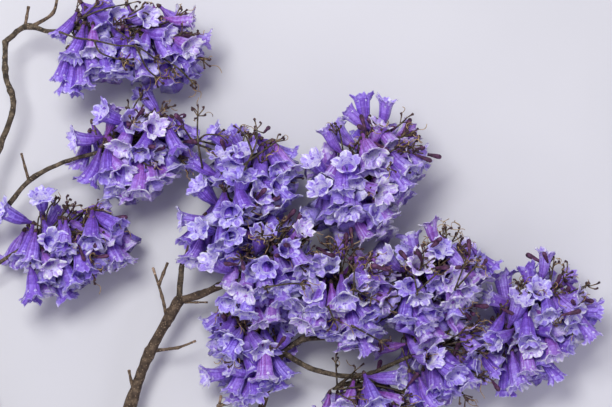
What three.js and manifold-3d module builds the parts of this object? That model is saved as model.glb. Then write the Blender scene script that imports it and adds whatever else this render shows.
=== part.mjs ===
// A flowering branch of a jacaranda tree, cut off below its lowest fork and lying on level ground.
// Millimetres. X runs to the right and Y up the branch, as it is seen from above, and Z is up.
// The branch is drawn in its own plane first, whose corner is the lower left corner of the view,
// and the finished group is then moved so that the part's origin is under the middle of its box.
import * as THREE from "three";
import { mergeVertices } from "three/addons/utils/BufferGeometryUtils.js";
import Module from "manifold-3d";

const wasm = await Module();
wasm.setup();

// One bloom: a trumpet on a narrow three-sided foot, with five lobes round a five-sided neck.
const BLOOM_LENGTH = 44;
const STALK_SIDES = 3;
const LOBE_COUNT = 5;
const BLOOM_FOOT = { along: 0, radius: 1.6 };
const TUBE_BULGE = { along: 12, radius: 4 };
const NECK = { along: 31, radius: 7.6 };
const LOBE_TIP = { along: 41, radius: 14.5 };
const THROAT_FLOOR = 30;

// The stalks that carry the blooms. A peduncle leaves the rachis and carries up to three
// pedicels: one goes on from its end and the others leave its sides a little lower down.
const RACHIS_RADII = [2.4, 2.1];
const RACHIS_SIDES = 5;
const PEDUNCLE_RADIUS = 1.7;
const PEDUNCLE_LENGTH = [10, 16];
const PEDICEL_LENGTH = [6, 10];
const JOINT = 2.4; // along the peduncle, from one pedicel's root to the next
const SIDE_PEDICELS = 2;

// The rule that a panicle branches by. Angles are in radians, each with its random spread.
const FIRST_PAIR = 0.6; // where the lowest pair stands, in shares of a pair's distance
const TURN_SPREAD = 0.5; // of a peduncle round the rachis
const SIDE_LEAN = [1.35, 0.6]; // of a peduncle off the rachis, at its foot and at its tip
const LEAN_SPREAD = 0.25;
const END_OPEN = 0.35; // of the end pedicel off its peduncle
const SIDE_OPEN = [0.6, 1.1]; // of the side pedicels
const SWING_SPREAD = 0.3;
const BLOOM_SCALE = [0.88, 1.08];
const WEIGHT_PULL = 0.3; // how far a bloom hangs towards the foot of the branch
const SWAY = 0.4;
const ATTEMPTS = 6;
const CROWDING = 0.95; // share of their girth that blooms of one panicle keep apart
const STALK_CROWDING = 0.85; // the same for a bloom and a stalk
const DOWN_THE_BRANCH = new THREE.Vector3(0.15, -1, -0.1);
const GIRTH = [
  { along: 4, radius: 2.5 },
  { along: 14, radius: 4.5 },
  { along: 26, radius: 6.5 },
  { along: 37, radius: 10.5 },
];
const LOBE_GIRTH = { along: 39, across: 12.5, radius: 2.8 };
const ALONG_A_STALK = [0.4, 0.7, 1]; // where it is tested against limbs
const LIMB_CLEARANCE = 0.5;

const GAP = 0.3; // between pieces that meet
const RINGS_PER_SPAN = 2;
const THICK_LIMB = 4; // limbs have more sides from this radius on, and from the next one
const THIN_LIMB = 2.6;
const LIMB_SIDES = { thick: 8, thin: 6, twig: 5 };

// Limbs, each with the points that it bends at and its radius at both ends.
const LIMBS = {
  main_stem: {
    route: [[72, -230, 8], [72, -196, 8], [82, -154, 11], [92, -115, 14]],
    radii: [8, 6.8],
  },
  middle_limb: {
    route: [[92, -115, 14], [103, -60, 20], [128, 0, 28], [143, 42, 34], [160, 75, 39], [178, 106, 44]],
    radii: [6.6, 5.4],
  },
  right_limb_foot: {
    route: [[92, -115, 14], [146, -94, 17], [206, -72, 21]],
    radii: [5.8, 5],
  },
  right_limb: {
    route: [[206, -72, 21], [250, -36, 26], [262, 0, 31], [270, 28, 35], [281, 54, 40]],
    radii: [4.9, 4],
  },
  left_limb_foot: {
    route: [[77, -175, 9.5], [38, -132, 13], [4, -66, 18]],
    radii: [5.2, 4.6],
  },
  left_limb: {
    route: [[4, -66, 18], [-20, 20, 26], [-30, 110, 34], [-20, 172, 39]],
    radii: [4.5, 3.6],
  },
  centre_bough: {
    route: [[178, 106, 44], [180, 128, 47], [184, 146, 50], [202, 152, 54], [223, 165, 60]],
    radii: [3.7, 2.3],
  },
  low_bough: {
    route: [[178, 106, 44], [200, 112, 47], [222, 122, 50], [246, 135, 55]],
    radii: [4.4, 3.1],
  },
  upper_right_bough: {
    route: [[246, 135, 55], [276, 147, 54], [304, 166, 58], [328, 199, 64]],
    radii: [2.9, 2.2],
  },
  lower_bough: {
    route: [[281, 54, 40], [300, 66, 46], [318, 79, 55], [330, 98, 61]],
    radii: [3.6, 2.4],
  },
  right_bough: {
    route: [[302, 67, 47], [345, 71, 50], [385, 90, 56], [402, 108, 62]],
    radii: [2.8, 2.1],
  },
  lower_right_bough: {
    route: [[281, 54, 40], [315, 36, 42], [360, 30, 46], [405, 48, 54]],
    radii: [3.4, 2.3],
  },
  far_right_bough: {
    route: [[360, 30, 46], [412, 12, 43], [464, 32, 44], [500, 68, 46]],
    radii: [2.8, 2.1],
  },
  lower_left_bough: {
    route: [[-28, 128, 36], [-12, 138, 37], [6, 150, 39], [26, 162, 42]],
    radii: [2.7, 2],
  },
  left_bough: {
    route: [[-20, 172, 39], [0, 194, 42], [27, 226, 45], [60, 244, 48], [98, 255, 52]],
    radii: [3.4, 2.2],
  },
  upper_left_bough: {
    route: [[-20, 172, 39], [-12, 235, 42], [11, 298, 45], [4, 332, 47], [4, 366, 50]],
    radii: [3.6, 3.1],
  },
  top_bough: {
    route: [[4, 366, 50], [25, 381, 52], [48, 376, 54], [68, 378, 56]],
    radii: [3.2, 2.4],
  },
};

// Bare side twigs: dead ends and the stumps of old panicles, some with a second prong.
const BARE_TWIGS = {
  left_twig: {
    routes: [[[166, 84, 39], [161, 110, 43], [152, 139, 47]], [[158, 122, 45], [167, 144, 50]]],
    radii: [2, 1.3],
  },
  right_twig: { routes: [[[154, 55, 36], [176, 58, 39], [195, 65, 43]]], radii: [2.1, 1.1] },
  low_stub: { routes: [[[131, 14, 30], [127, 35, 35]]], radii: [1.8, 1.5] },
  fork_twig: { routes: [[[184, 104, 44], [207, 104, 45]]], radii: [1.3, 1] },
  thin_twig: { routes: [[[183, 144, 50], [188, 160, 53], [197, 176, 55]]], radii: [1.7, 1.1] },
  old_stump: { routes: [[[188, 146, 52], [199, 166, 57]]], radii: [2.5, 2.3] },
  right_stub: { routes: [[[277, 52, 39], [273, 78, 43]]], radii: [1.6, 1] },
  foot_twig: {
    routes: [[[216, -66, 22], [215, -20, 27], [220, 9, 30]], [[217, -2, 29], [238, 5, 31]]],
    radii: [2.2, 1.4],
  },
  left_prong: { routes: [[[27, 226, 45], [20, 254, 49]]], radii: [1.7, 1.2] },
  top_prong: { routes: [[[24, 381, 52], [28, 401, 55]]], radii: [1.7, 1.6] },
  top_twig: { routes: [[[31, 381, 52], [52, 394, 55], [58, 414, 58]]], radii: [2.3, 1.5] },
};

// Panicles, each with the stalk through it (foot, middle, tip), the room that it grows in, its
// pairs of side stalks, its seed, and how many of its foremost blooms are solids of their own.
const PANICLES = {
  centre_panicle: {
    rachis: [[223, 165, 60], [236, 206, 68], [258, 262, 74]],
    room: { centre: [228, 208, 66], reach: [74, 74, 58] },
    pairs: 7, seed: 11, foremost: 2,
  },
  lower_panicle: {
    rachis: [[330, 98, 61], [334, 112, 70], [352, 142, 80]],
    room: { centre: [345, 118, 64], reach: [64, 62, 60] },
    pairs: 6, seed: 23, foremost: 2,
  },
  upper_right_panicle: {
    rachis: [[328, 199, 64], [350, 228, 70], [378, 266, 74]],
    room: { centre: [362, 240, 66], reach: [70, 76, 56] },
    pairs: 7, seed: 37, foremost: 3,
  },
  middle_panicle: {
    rachis: [[246, 135, 55], [258, 144, 72], [278, 156, 88]],
    room: { centre: [272, 144, 82], reach: [64, 60, 60] },
    pairs: 6, seed: 41, foremost: 2,
  },
  right_panicle: {
    rachis: [[402, 108, 62], [420, 122, 70], [446, 150, 78]],
    room: { centre: [428, 126, 62], reach: [62, 60, 56] },
    pairs: 6, seed: 59, foremost: 2,
  },
  lower_right_panicle: {
    rachis: [[405, 48, 54], [425, 56, 60], [452, 66, 64]],
    room: { centre: [436, 50, 54], reach: [62, 56, 54] },
    pairs: 6, seed: 68, foremost: 1,
  },
  upper_left_panicle: {
    rachis: [[68, 378, 56], [112, 384, 60], [164, 370, 62]],
    room: { centre: [134, 350, 58], reach: [82, 62, 52] },
    pairs: 7, seed: 71, foremost: 3,
  },
  left_panicle: {
    rachis: [[98, 255, 52], [126, 266, 56], [160, 276, 58]],
    room: { centre: [130, 262, 54], reach: [66, 58, 50] },
    pairs: 6, seed: 83, foremost: 1,
  },
  bottom_panicle: {
    rachis: [[350, 31, 45], [362, 16, 54], [384, 4, 60]],
    room: { centre: [368, 0, 52], reach: [58, 52, 48] },
    pairs: 5, seed: 97, foremost: 1,
  },
  inner_panicle: {
    rachis: [[266, 16, 33], [254, 46, 36], [248, 84, 38]],
    room: { centre: [246, 62, 38], reach: [52, 60, 42] },
    pairs: 5, seed: 101, foremost: 1,
  },
  far_right_panicle: {
    rachis: [[500, 68, 46], [524, 84, 52], [552, 106, 56]],
    room: { centre: [534, 86, 52], reach: [74, 70, 50] },
    pairs: 7, seed: 114, foremost: 1,
  },
  lower_left_panicle: {
    rachis: [[26, 162, 42], [56, 176, 48], [92, 188, 52]],
    room: { centre: [58, 166, 48], reach: [70, 60, 48] },
    pairs: 6, seed: 127, foremost: 1,
  },
};

const bark = new THREE.MeshStandardMaterial({ color: 0x6b5640, roughness: 0.9, metalness: 0 });
const stalk = new THREE.MeshStandardMaterial({ color: 0x5a4a3a, roughness: 0.8, metalness: 0 });
const petal = new THREE.MeshStandardMaterial({ color: 0x8f7fd0, roughness: 0.6, metalness: 0 });

const point = (p) => new THREE.Vector3(...p);

// Even random numbers from 0 to 1, the same ones for the same seed.
function seededRandom(seed) {
  let state = seed >>> 0;
  return () => {
    state = (state + 0x6d2b79f5) >>> 0;
    let t = state;
    t = Math.imul(t ^ (t >>> 15), t | 1);
    t ^= t + Math.imul(t ^ (t >>> 7), t | 61);
    return ((t ^ (t >>> 14)) >>> 0) / 4294967296;
  };
}

// A closed three.js geometry as a manifold-3d solid.
function solidOf(geometry) {
  const bare = geometry.index ? geometry.toNonIndexed() : geometry.clone();
  bare.deleteAttribute("normal");
  bare.deleteAttribute("uv");
  const merged = mergeVertices(bare, 1e-4);
  return new wasm.Manifold(
    new wasm.Mesh({
      numProp: 3,
      vertProperties: merged.attributes.position.array,
      triVerts: new Uint32Array(merged.index.array),
    }),
  );
}

// A manifold-3d solid as a three.js geometry with flat faces.
function geometryOf(solid) {
  const { numProp, vertProperties, triVerts } = solid.getMesh();
  const positions = new Float32Array((vertProperties.length / numProp) * 3);
  for (let i = 0; i < positions.length / 3; i++) {
    positions.set(vertProperties.subarray(i * numProp, i * numProp + 3), i * 3);
  }
  const indexed = new THREE.BufferGeometry()
    .setAttribute("position", new THREE.BufferAttribute(positions, 3))
    .setIndex(new THREE.BufferAttribute(triVerts, 1));
  const flat = indexed.toNonIndexed();
  flat.computeVertexNormals();
  return flat;
}

const largestPiece = (solid) =>
  solid.decompose().reduce((a, b) => (b.volume() > a.volume() ? b : a));

// A closed surface through rings of points, with a flat cap on the first and the last ring.
// Each ring is counterclockwise as seen from its far side.
function skinOf(rings) {
  const vertices = rings.flat();
  const sides = rings[0].length;
  const faces = [];
  for (let i = 0; i < rings.length - 1; i++) {
    for (let k = 0; k < sides; k++) {
      const a = i * sides + k;
      const b = i * sides + ((k + 1) % sides);
      faces.push(a, b, b + sides, a, b + sides, a + sides);
    }
  }
  const last = (rings.length - 1) * sides;
  for (let k = 1; k < sides - 1; k++) {
    faces.push(0, k + 1, k);
    faces.push(last, last + k, last + k + 1);
  }
  return new THREE.BufferGeometry().setFromPoints(vertices).setIndex(faces);
}

// Rings of a tapered tube along a curve. Its first corner points down, so that a limb that lies
// on the ground touches it there.
function limbRings(curve, spans, radii, sides, grown) {
  const steps = spans * RINGS_PER_SPAN;
  const rings = [];
  for (let i = 0; i <= steps; i++) {
    const t = i / steps;
    const along = curve.getTangent(t);
    const centre = curve.getPoint(t);
    if (i === 0) centre.addScaledVector(along, -grown);
    if (i === steps) centre.addScaledVector(along, grown);
    const across = new THREE.Vector3(0, 0, 1).cross(along).normalize();
    const below = across.clone().cross(along).normalize();
    const radius = THREE.MathUtils.lerp(radii[0], radii[1], t) + grown;
    const ring = [];
    for (let k = 0; k < sides; k++) {
      const turn = (2 * Math.PI * k) / sides;
      ring.push(
        centre.clone()
          .addScaledVector(below, radius * Math.cos(turn))
          .addScaledVector(across, radius * Math.sin(turn)),
      );
    }
    rings.push(ring);
  }
  return rings;
}

function limbSolid(route, radii, grown = 0) {
  const curve = new THREE.CatmullRomCurve3(route.map(point), false, "catmullrom", 0.5);
  const thin = radii[0] >= THIN_LIMB ? LIMB_SIDES.thin : LIMB_SIDES.twig;
  const sides = radii[0] >= THICK_LIMB ? LIMB_SIDES.thick : thin;
  return solidOf(skinOf(limbRings(curve, route.length - 1, radii, sides, grown)));
}

const twigSolid = (twig, grown = 0) =>
  wasm.Manifold.union(twig.routes.map((route) => limbSolid(route, twig.radii, grown)));

// Two directions square to a third and to each other.
function squareTo(direction, hint) {
  const across = hint.clone().addScaledVector(direction, -hint.dot(direction)).normalize();
  return [across, direction.clone().cross(across)];
}

// A closed surface that is put together ring by ring.
class Skin {
  vertices = [];
  faces = [];

  add(points) {
    const first = this.vertices.length;
    this.vertices.push(...points);
    return points.map((_, k) => first + k);
  }

  // Sides from one ring to the next one of as many corners. On an open side one triangle is left
  // out, and its corners are returned as the root ring of a pedicel.
  span(lower, upper, openSide = -1) {
    lower.forEach((corner, k) => {
      const next = (k + 1) % lower.length;
      this.faces.push(corner, upper[next], upper[k]);
      if (k !== openSide) this.faces.push(corner, lower[next], upper[next]);
    });
    return openSide < 0
      ? null
      : [lower[openSide], lower[(openSide + 1) % lower.length], upper[(openSide + 1) % lower.length]];
  }

  cap(ring, facesOn) {
    for (let k = 1; k < ring.length - 1; k++) {
      this.faces.push(ring[0], ...(facesOn ? [ring[k], ring[k + 1]] : [ring[k + 1], ring[k]]));
    }
  }

  // From the three-sided tube to the five-sided neck. Each edge of the neck meets the tube's
  // nearest corner, and each edge of the tube meets one corner of the neck.
  widen(tube, neck) {
    [0, 1, 1, 2, 0].forEach((corner, k) => {
      this.faces.push(tube[corner], neck[(k + 1) % LOBE_COUNT], neck[k]);
    });
    [1, 3, 4].forEach((corner, k) => {
      this.faces.push(tube[k], tube[(k + 1) % STALK_SIDES], neck[corner]);
    });
  }

  geometry() {
    return new THREE.BufferGeometry().setFromPoints(this.vertices).setIndex(this.faces);
  }
}

// A flat ring of corners round a centre, the first of them on the side of the hint.
function ringAround(centre, direction, hint, radius, sides = STALK_SIDES) {
  const [across, aside] = squareTo(direction, hint);
  return Array.from({ length: sides }, (_, k) => {
    const turn = (2 * Math.PI * k) / sides;
    return centre.clone()
      .addScaledVector(across, radius * Math.cos(turn))
      .addScaledVector(aside, radius * Math.sin(turn));
  });
}

// The corners of a bloom as it is placed, and of one that is grown fatter all over.
function bloomCorners({ foot, axis, hang, scale }, grown = 0) {
  const at = (along) => foot.clone().addScaledVector(axis, along * scale);
  const ring = ({ along, radius }, sides, more = 0) =>
    ringAround(at(along + more), axis, hang, (radius + grown) * scale, sides);
  const neck = ring(NECK, LOBE_COUNT);
  const reach = (LOBE_TIP.radius + grown) * scale;
  const tips = ringAround(at(LOBE_TIP.along + grown), axis, hang, reach, 2 * LOBE_COUNT);
  return {
    foot: ring(BLOOM_FOOT, STALK_SIDES, -grown),
    bulge: ring(TUBE_BULGE, STALK_SIDES),
    neck,
    tips: tips.filter((_, k) => k % 2),
    floor: at(THROAT_FLOOR + grown),
  };
}

// Carries a skin on from the foot of a bloom, up its tube, over its lobes and down its throat.
function addBloom(skin, foot, { bulge, neck, tips, floor }) {
  const tube = skin.add(bulge);
  const collar = skin.add(neck);
  const lobes = skin.add(tips);
  const [throat] = skin.add([floor]);
  skin.span(foot, tube);
  skin.widen(tube, collar);
  collar.forEach((corner, k) => {
    const next = collar[(k + 1) % LOBE_COUNT];
    skin.faces.push(corner, next, lobes[k]);
    skin.faces.push(throat, corner, lobes[k], throat, lobes[k], next);
  });
}

function loneBloom(bloom, grown = 0) {
  const skin = new Skin();
  const corners = bloomCorners(bloom, grown);
  const foot = skin.add(corners.foot);
  skin.cap(foot, false);
  addBloom(skin, foot, corners);
  return skin.geometry();
}

// A root ring with its corners counted from the one that keeps its sides straightest.
function turnedTo(skin, root, corners) {
  const twist = (turn) =>
    corners.reduce((sum, p, k) => sum + p.distanceTo(skin.vertices[root[(k + turn) % root.length]]), 0);
  const best = [0, 1, 2].reduce((a, b) => (twist(b) < twist(a) ? b : a));
  return root.map((_, k) => root[(k + best) % root.length]);
}

// A peduncle with its pedicels and their blooms in one skin. A side pedicel grows out of one
// face of the peduncle. A bloom that is a solid of its own leaves a flat calyx to stand on.
function clusterSolid({ start, fork, way, along, blooms }, lone) {
  const skin = new Skin();
  const sunk = skin.add(ringAround(start, way, along, PEDUNCLE_RADIUS));
  skin.cap(sunk, false);
  const carry = (root, bloom) => {
    const corners = bloomCorners(bloom);
    const foot = skin.add(corners.foot);
    skin.span(turnedTo(skin, root, corners.foot), foot);
    if (lone.includes(bloom)) skin.cap(foot, true);
    else addBloom(skin, foot, corners);
  };
  let lower = sunk;
  for (let m = SIDE_PEDICELS; m >= 0; m--) {
    const centre = fork.clone().addScaledVector(way, -JOINT * m);
    const upper = skin.add(ringAround(centre, way, along, PEDUNCLE_RADIUS));
    const bloom = blooms.find(({ place }) => place === m + 1);
    const root = skin.span(lower, upper, bloom ? bloom.side : -1);
    if (bloom) carry(root, bloom);
    lower = upper;
  }
  const last = blooms.find(({ place }) => place === 0);
  if (last) carry(lower, last);
  else skin.cap(lower, true);
  return solidOf(skin.geometry());
}

// Distance from a point to the stretch between two others, and where on it the nearest point is.
function toStretch(p, a, b) {
  const run = b.clone().sub(a);
  const share = THREE.MathUtils.clamp(p.clone().sub(a).dot(run) / run.lengthSq(), 0, 1);
  return { distance: a.clone().addScaledVector(run, share).distanceTo(p), share };
}

const stretches = Object.values(LIMBS).flatMap(({ route, radii }) =>
  route.slice(1).map((end, i) => {
    const shareOf = (k) => THREE.MathUtils.lerp(radii[0], radii[1], k / (route.length - 1));
    return { a: point(route[i]), b: point(end), near: shareOf(i), far: shareOf(i + 1) };
  }),
);

function touchesLimb(balls) {
  return balls.some(({ centre, radius }) =>
    stretches.some(({ a, b, near, far }) => {
      const { distance, share } = toStretch(centre, a, b);
      return distance < radius + THREE.MathUtils.lerp(near, far, share) + LIMB_CLEARANCE;
    }),
  );
}

const touching = (balls, others, share) =>
  balls.some((p) =>
    others.some((q) => p.centre.distanceTo(q.centre) < share * (p.radius + q.radius)),
  );

// Turns a bloom up, if it has to, until its lowest lobe just rests on the ground, and says if it
// did. A lobe tip at the radius r and the distance a along the axis lies at the height
// foot + a sin(e) - r cos(e), where e is the axis's rise.
function liftOffGround(foot, axis, scale) {
  const { along, radius } = LOBE_TIP;
  const lean = Math.atan2(radius, along);
  const sine = -foot.z / (scale * Math.hypot(radius, along));
  const rise = lean + Math.asin(THREE.MathUtils.clamp(sine, -1, 1));
  if (Math.asin(THREE.MathUtils.clamp(axis.z, -1, 1)) >= rise) return false;
  const flat = new THREE.Vector3(axis.x, axis.y, 0).normalize();
  axis.copy(flat.multiplyScalar(Math.cos(rise)));
  axis.z = Math.sin(rise);
  return true;
}

const girthBalls = ({ foot, axis, scale }) =>
  GIRTH.map(({ along, radius }) => ({
    centre: foot.clone().addScaledVector(axis, along * scale),
    radius: radius * scale,
  }));

const lobeBalls = ({ foot, axis, hang, scale }) => {
  const { along, across, radius } = LOBE_GIRTH;
  const centre = foot.clone().addScaledVector(axis, along * scale);
  return ringAround(centre, axis, hang, across * scale, 2 * LOBE_COUNT)
    .filter((_, k) => k % 2)
    .map((p) => ({ centre: p, radius: radius * scale }));
};

// Balls along a stalk, clear of its root.
const stalkBalls = (from, to) =>
  ALONG_A_STALK.map((share) => ({ centre: from.clone().lerp(to, share), radius: PEDUNCLE_RADIUS }));

const touchesStalk = (balls, stalks) =>
  balls.some(({ centre, radius }) =>
    stalks.some(({ a, b }) =>
      toStretch(centre, a, b).distance < STALK_CROWDING * radius + PEDUNCLE_RADIUS,
    ),
  );

function inRoom(p, { centre, reach }) {
  return Math.hypot(...p.toArray().map((x, i) => (x - centre[i]) / reach[i])) <= 1;
}

// A direction that leans off another one, on the side that the turn gives.
function leaning(along, lean, turn, hint) {
  const [across, aside] = squareTo(along, hint);
  return along.clone().multiplyScalar(Math.cos(lean))
    .addScaledVector(across, Math.sin(lean) * Math.cos(turn))
    .addScaledVector(aside, Math.sin(lean) * Math.sin(turn));
}

// Grows one panicle. Pairs of peduncles leave its rachis crosswise and one goes on from its tip,
// and each carries up to three blooms on pedicels. What would leave the panicle's room, touch a
// limb or another panicle, or crowd its own, is tried again at another angle and then skipped.
function growPanicle({ rachis, room, pairs, seed }, others) {
  const random = seededRandom(seed);
  const spread = (size) => (random() - 0.5) * 2 * size;
  const between = ([low, high]) => low + (high - low) * random();
  const curve = new THREE.QuadraticBezierCurve3(...rachis.map(point));
  const upward = new THREE.Vector3(0, 0, 1);
  const nodes = [];
  for (let i = 0; i < pairs; i++) {
    const t = (i + FIRST_PAIR) / pairs;
    const turn = (i * Math.PI) / 2;
    const lean = THREE.MathUtils.lerp(SIDE_LEAN[0], SIDE_LEAN[1], t);
    nodes.push({ t, turn, lean }, { t, turn: turn + Math.PI, lean });
  }
  nodes.push({ t: 1, turn: 0, lean: 0 });
  const stalks = [0, 0.5].map((t) => ({ a: curve.getPoint(t), b: curve.getPoint(t + 0.5) }));
  const clusters = [];
  const girths = [];
  const taken = [];
  for (const node of nodes) {
    const start = curve.getPoint(node.t);
    const along = curve.getTangent(node.t);
    let way;
    let fork;
    for (let attempt = 0; attempt < ATTEMPTS && !fork; attempt++) {
      const lean = node.lean + spread(LEAN_SPREAD);
      way = leaning(along, lean, node.turn + spread(TURN_SPREAD), upward);
      const end = start.clone().addScaledVector(way, between(PEDUNCLE_LENGTH));
      if (touchesStalk([...others.balls, ...girths], [{ a: start, b: end }])) continue;
      if (!touchesLimb(stalkBalls(start, end))) fork = end;
    }
    if (!fork) continue;
    stalks.push({ a: start, b: fork });
    const firstSide = Math.floor(random() * STALK_SIDES);
    const cluster = [];
    const blooms = [];
    for (let place = 0; place <= SIDE_PEDICELS; place++) {
      const side = (firstSide + place) % STALK_SIDES;
      for (let attempt = 0; attempt < ATTEMPTS; attempt++) {
        const open = place === 0 ? spread(END_OPEN) : between(SIDE_OPEN);
        const swing = ((2 * side + 1) * Math.PI) / STALK_SIDES + spread(SWING_SPREAD);
        const length = between(PEDICEL_LENGTH);
        const scale = between(BLOOM_SCALE);
        const sway = new THREE.Vector3(spread(SWAY), spread(SWAY), spread(SWAY));
        const stem = leaning(way, open, swing, along);
        const root = fork.clone().addScaledVector(way, -JOINT * place);
        const foot = root.clone().addScaledVector(stem, length);
        const axis = stem.clone().addScaledVector(DOWN_THE_BRANCH, WEIGHT_PULL)
          .add(sway).normalize();
        const rests = liftOffGround(foot, axis, scale);
        const hang = rests ? new THREE.Vector3(0, 0, 1) : DOWN_THE_BRANCH;
        const bloom = { place, side, foot, axis, hang, scale };
        const girth = girthBalls(bloom);
        const whole = [...girth, ...lobeBalls(bloom)];
        if (!inRoom(girth[girth.length - 1].centre, room)) continue;
        if (touchesLimb([...whole, ...stalkBalls(root, foot)])) continue;
        if (touchesStalk(girth, stalks) || touchesStalk(girth, others.stalks)) continue;
        if (touching(girth, girths, CROWDING) || touching(whole, cluster, 1)) continue;
        if (touching(whole, others.balls, 1)) continue;
        girths.push(...girth);
        cluster.push(...whole);
        blooms.push(bloom);
        break;
      }
    }
    taken.push(...cluster);
    if (blooms.length) clusters.push({ start, fork, way, along, blooms });
  }
  return { curve, stalks, clusters, taken };
}

function rachisSolid(curve) {
  return solidOf(skinOf(limbRings(curve, 2, RACHIS_RADII, RACHIS_SIDES, 0)));
}

// Builds every limb and twig, each cut 0.3 mm clear of those before it.
function buildWood() {
  const wood = [];
  const add = (name, material, solid, grown) => {
    let cut = solid;
    for (const earlier of wood) cut = cut.subtract(earlier.grown);
    wood.push({ name, material, solid: largestPiece(cut), grown });
  };
  for (const [name, { route, radii }] of Object.entries(LIMBS)) {
    add(name, bark, limbSolid(route, radii), limbSolid(route, radii, GAP));
  }
  for (const [name, twig] of Object.entries(BARE_TWIGS)) {
    add(name, bark, twigSolid(twig), twigSolid(twig, GAP));
  }
  return wood;
}

// Builds one panicle: the mass that its stalks and most of its blooms are fused in, and its
// foremost blooms, each of which stands 0.3 mm off its calyx.
function buildPanicle(name, panicle, grownSolids, others) {
  const { curve, stalks, clusters, taken } = growPanicle(panicle, others);
  others.balls.push(...taken);
  others.stalks.push(...stalks);
  const blooms = clusters.flatMap((cluster) => cluster.blooms);
  const top = ({ foot, axis }) => foot.z + axis.z * BLOOM_LENGTH;
  const lone = [...blooms].sort((p, q) => top(q) - top(p)).slice(0, panicle.foremost);
  let mass = wasm.Manifold.union([
    rachisSolid(curve),
    ...clusters.map((cluster) => clusterSolid(cluster, lone)),
  ]);
  const pieces = lone.map((bloom, i) => {
    const seat = { ...bloom, foot: bloom.foot.clone().addScaledVector(bloom.axis, GAP) };
    mass = mass.subtract(solidOf(loneBloom(seat, GAP)));
    return { name: `${name.replace("_panicle", "")}_bloom_${i + 1}`, geometry: loneBloom(seat) };
  });
  for (const grown of grownSolids) mass = mass.subtract(grown);
  return { mass: largestPiece(mass), pieces };
}

function addSolid(group, name, material, solid) {
  const mesh = new THREE.Mesh(geometryOf(solid), material);
  mesh.name = name;
  group.add(mesh);
}

const branch = new THREE.Group();
const wood = buildWood();
for (const { name, material, solid } of wood) addSolid(branch, name, material, solid);

const others = { balls: [], stalks: [] };
const grownWood = wood.map(({ grown }) => grown);
for (const [name, panicle] of Object.entries(PANICLES)) {
  const { mass, pieces } = buildPanicle(name, panicle, grownWood, others);
  addSolid(branch, name, stalk, mass);
  for (const { name: bloomName, geometry } of pieces) {
    const bloom = new THREE.Mesh(geometry, petal);
    bloom.name = bloomName;
    branch.add(bloom);
  }
}

// The origin is on the ground under the middle of the branch's box.
branch.updateMatrixWorld(true);
const box = new THREE.Box3().setFromObject(branch, true);
const middle = box.getCenter(new THREE.Vector3());
branch.position.set(-middle.x, -middle.y, -box.min.z);

export default branch;
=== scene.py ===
"""A flowering jacaranda branch, cut from its tree and lying on level ground."""
import math

import bpy
import numpy as np
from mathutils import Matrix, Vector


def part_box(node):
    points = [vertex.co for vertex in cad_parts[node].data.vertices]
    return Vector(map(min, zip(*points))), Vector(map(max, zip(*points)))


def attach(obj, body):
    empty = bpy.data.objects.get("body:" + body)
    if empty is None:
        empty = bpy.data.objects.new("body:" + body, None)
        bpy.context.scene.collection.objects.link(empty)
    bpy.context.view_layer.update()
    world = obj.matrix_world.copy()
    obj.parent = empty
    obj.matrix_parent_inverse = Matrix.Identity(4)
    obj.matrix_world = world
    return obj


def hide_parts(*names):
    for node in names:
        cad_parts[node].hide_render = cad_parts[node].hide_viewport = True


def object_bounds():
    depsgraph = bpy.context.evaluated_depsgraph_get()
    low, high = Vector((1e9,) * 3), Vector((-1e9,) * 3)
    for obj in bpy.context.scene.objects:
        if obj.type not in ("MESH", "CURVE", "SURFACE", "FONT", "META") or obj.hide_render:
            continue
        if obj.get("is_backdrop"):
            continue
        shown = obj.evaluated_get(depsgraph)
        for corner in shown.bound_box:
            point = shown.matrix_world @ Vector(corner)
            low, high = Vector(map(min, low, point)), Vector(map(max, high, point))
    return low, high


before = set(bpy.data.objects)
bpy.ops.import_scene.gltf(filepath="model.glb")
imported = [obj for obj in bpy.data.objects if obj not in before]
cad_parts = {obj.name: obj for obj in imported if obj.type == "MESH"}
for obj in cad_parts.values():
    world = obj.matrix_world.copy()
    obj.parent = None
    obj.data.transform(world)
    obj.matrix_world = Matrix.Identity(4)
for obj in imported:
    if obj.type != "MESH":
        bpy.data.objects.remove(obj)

solids_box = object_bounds()


# The main stem and the limbs. Real jacaranda wood of this age is smooth and grey-brown, with
# pores like grains of rice, a swelling where each side branch leaves and old leaf scars. Every
# limb grows out of the one below it, so its foot is sunk in that one.
MM = 0.001
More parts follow.
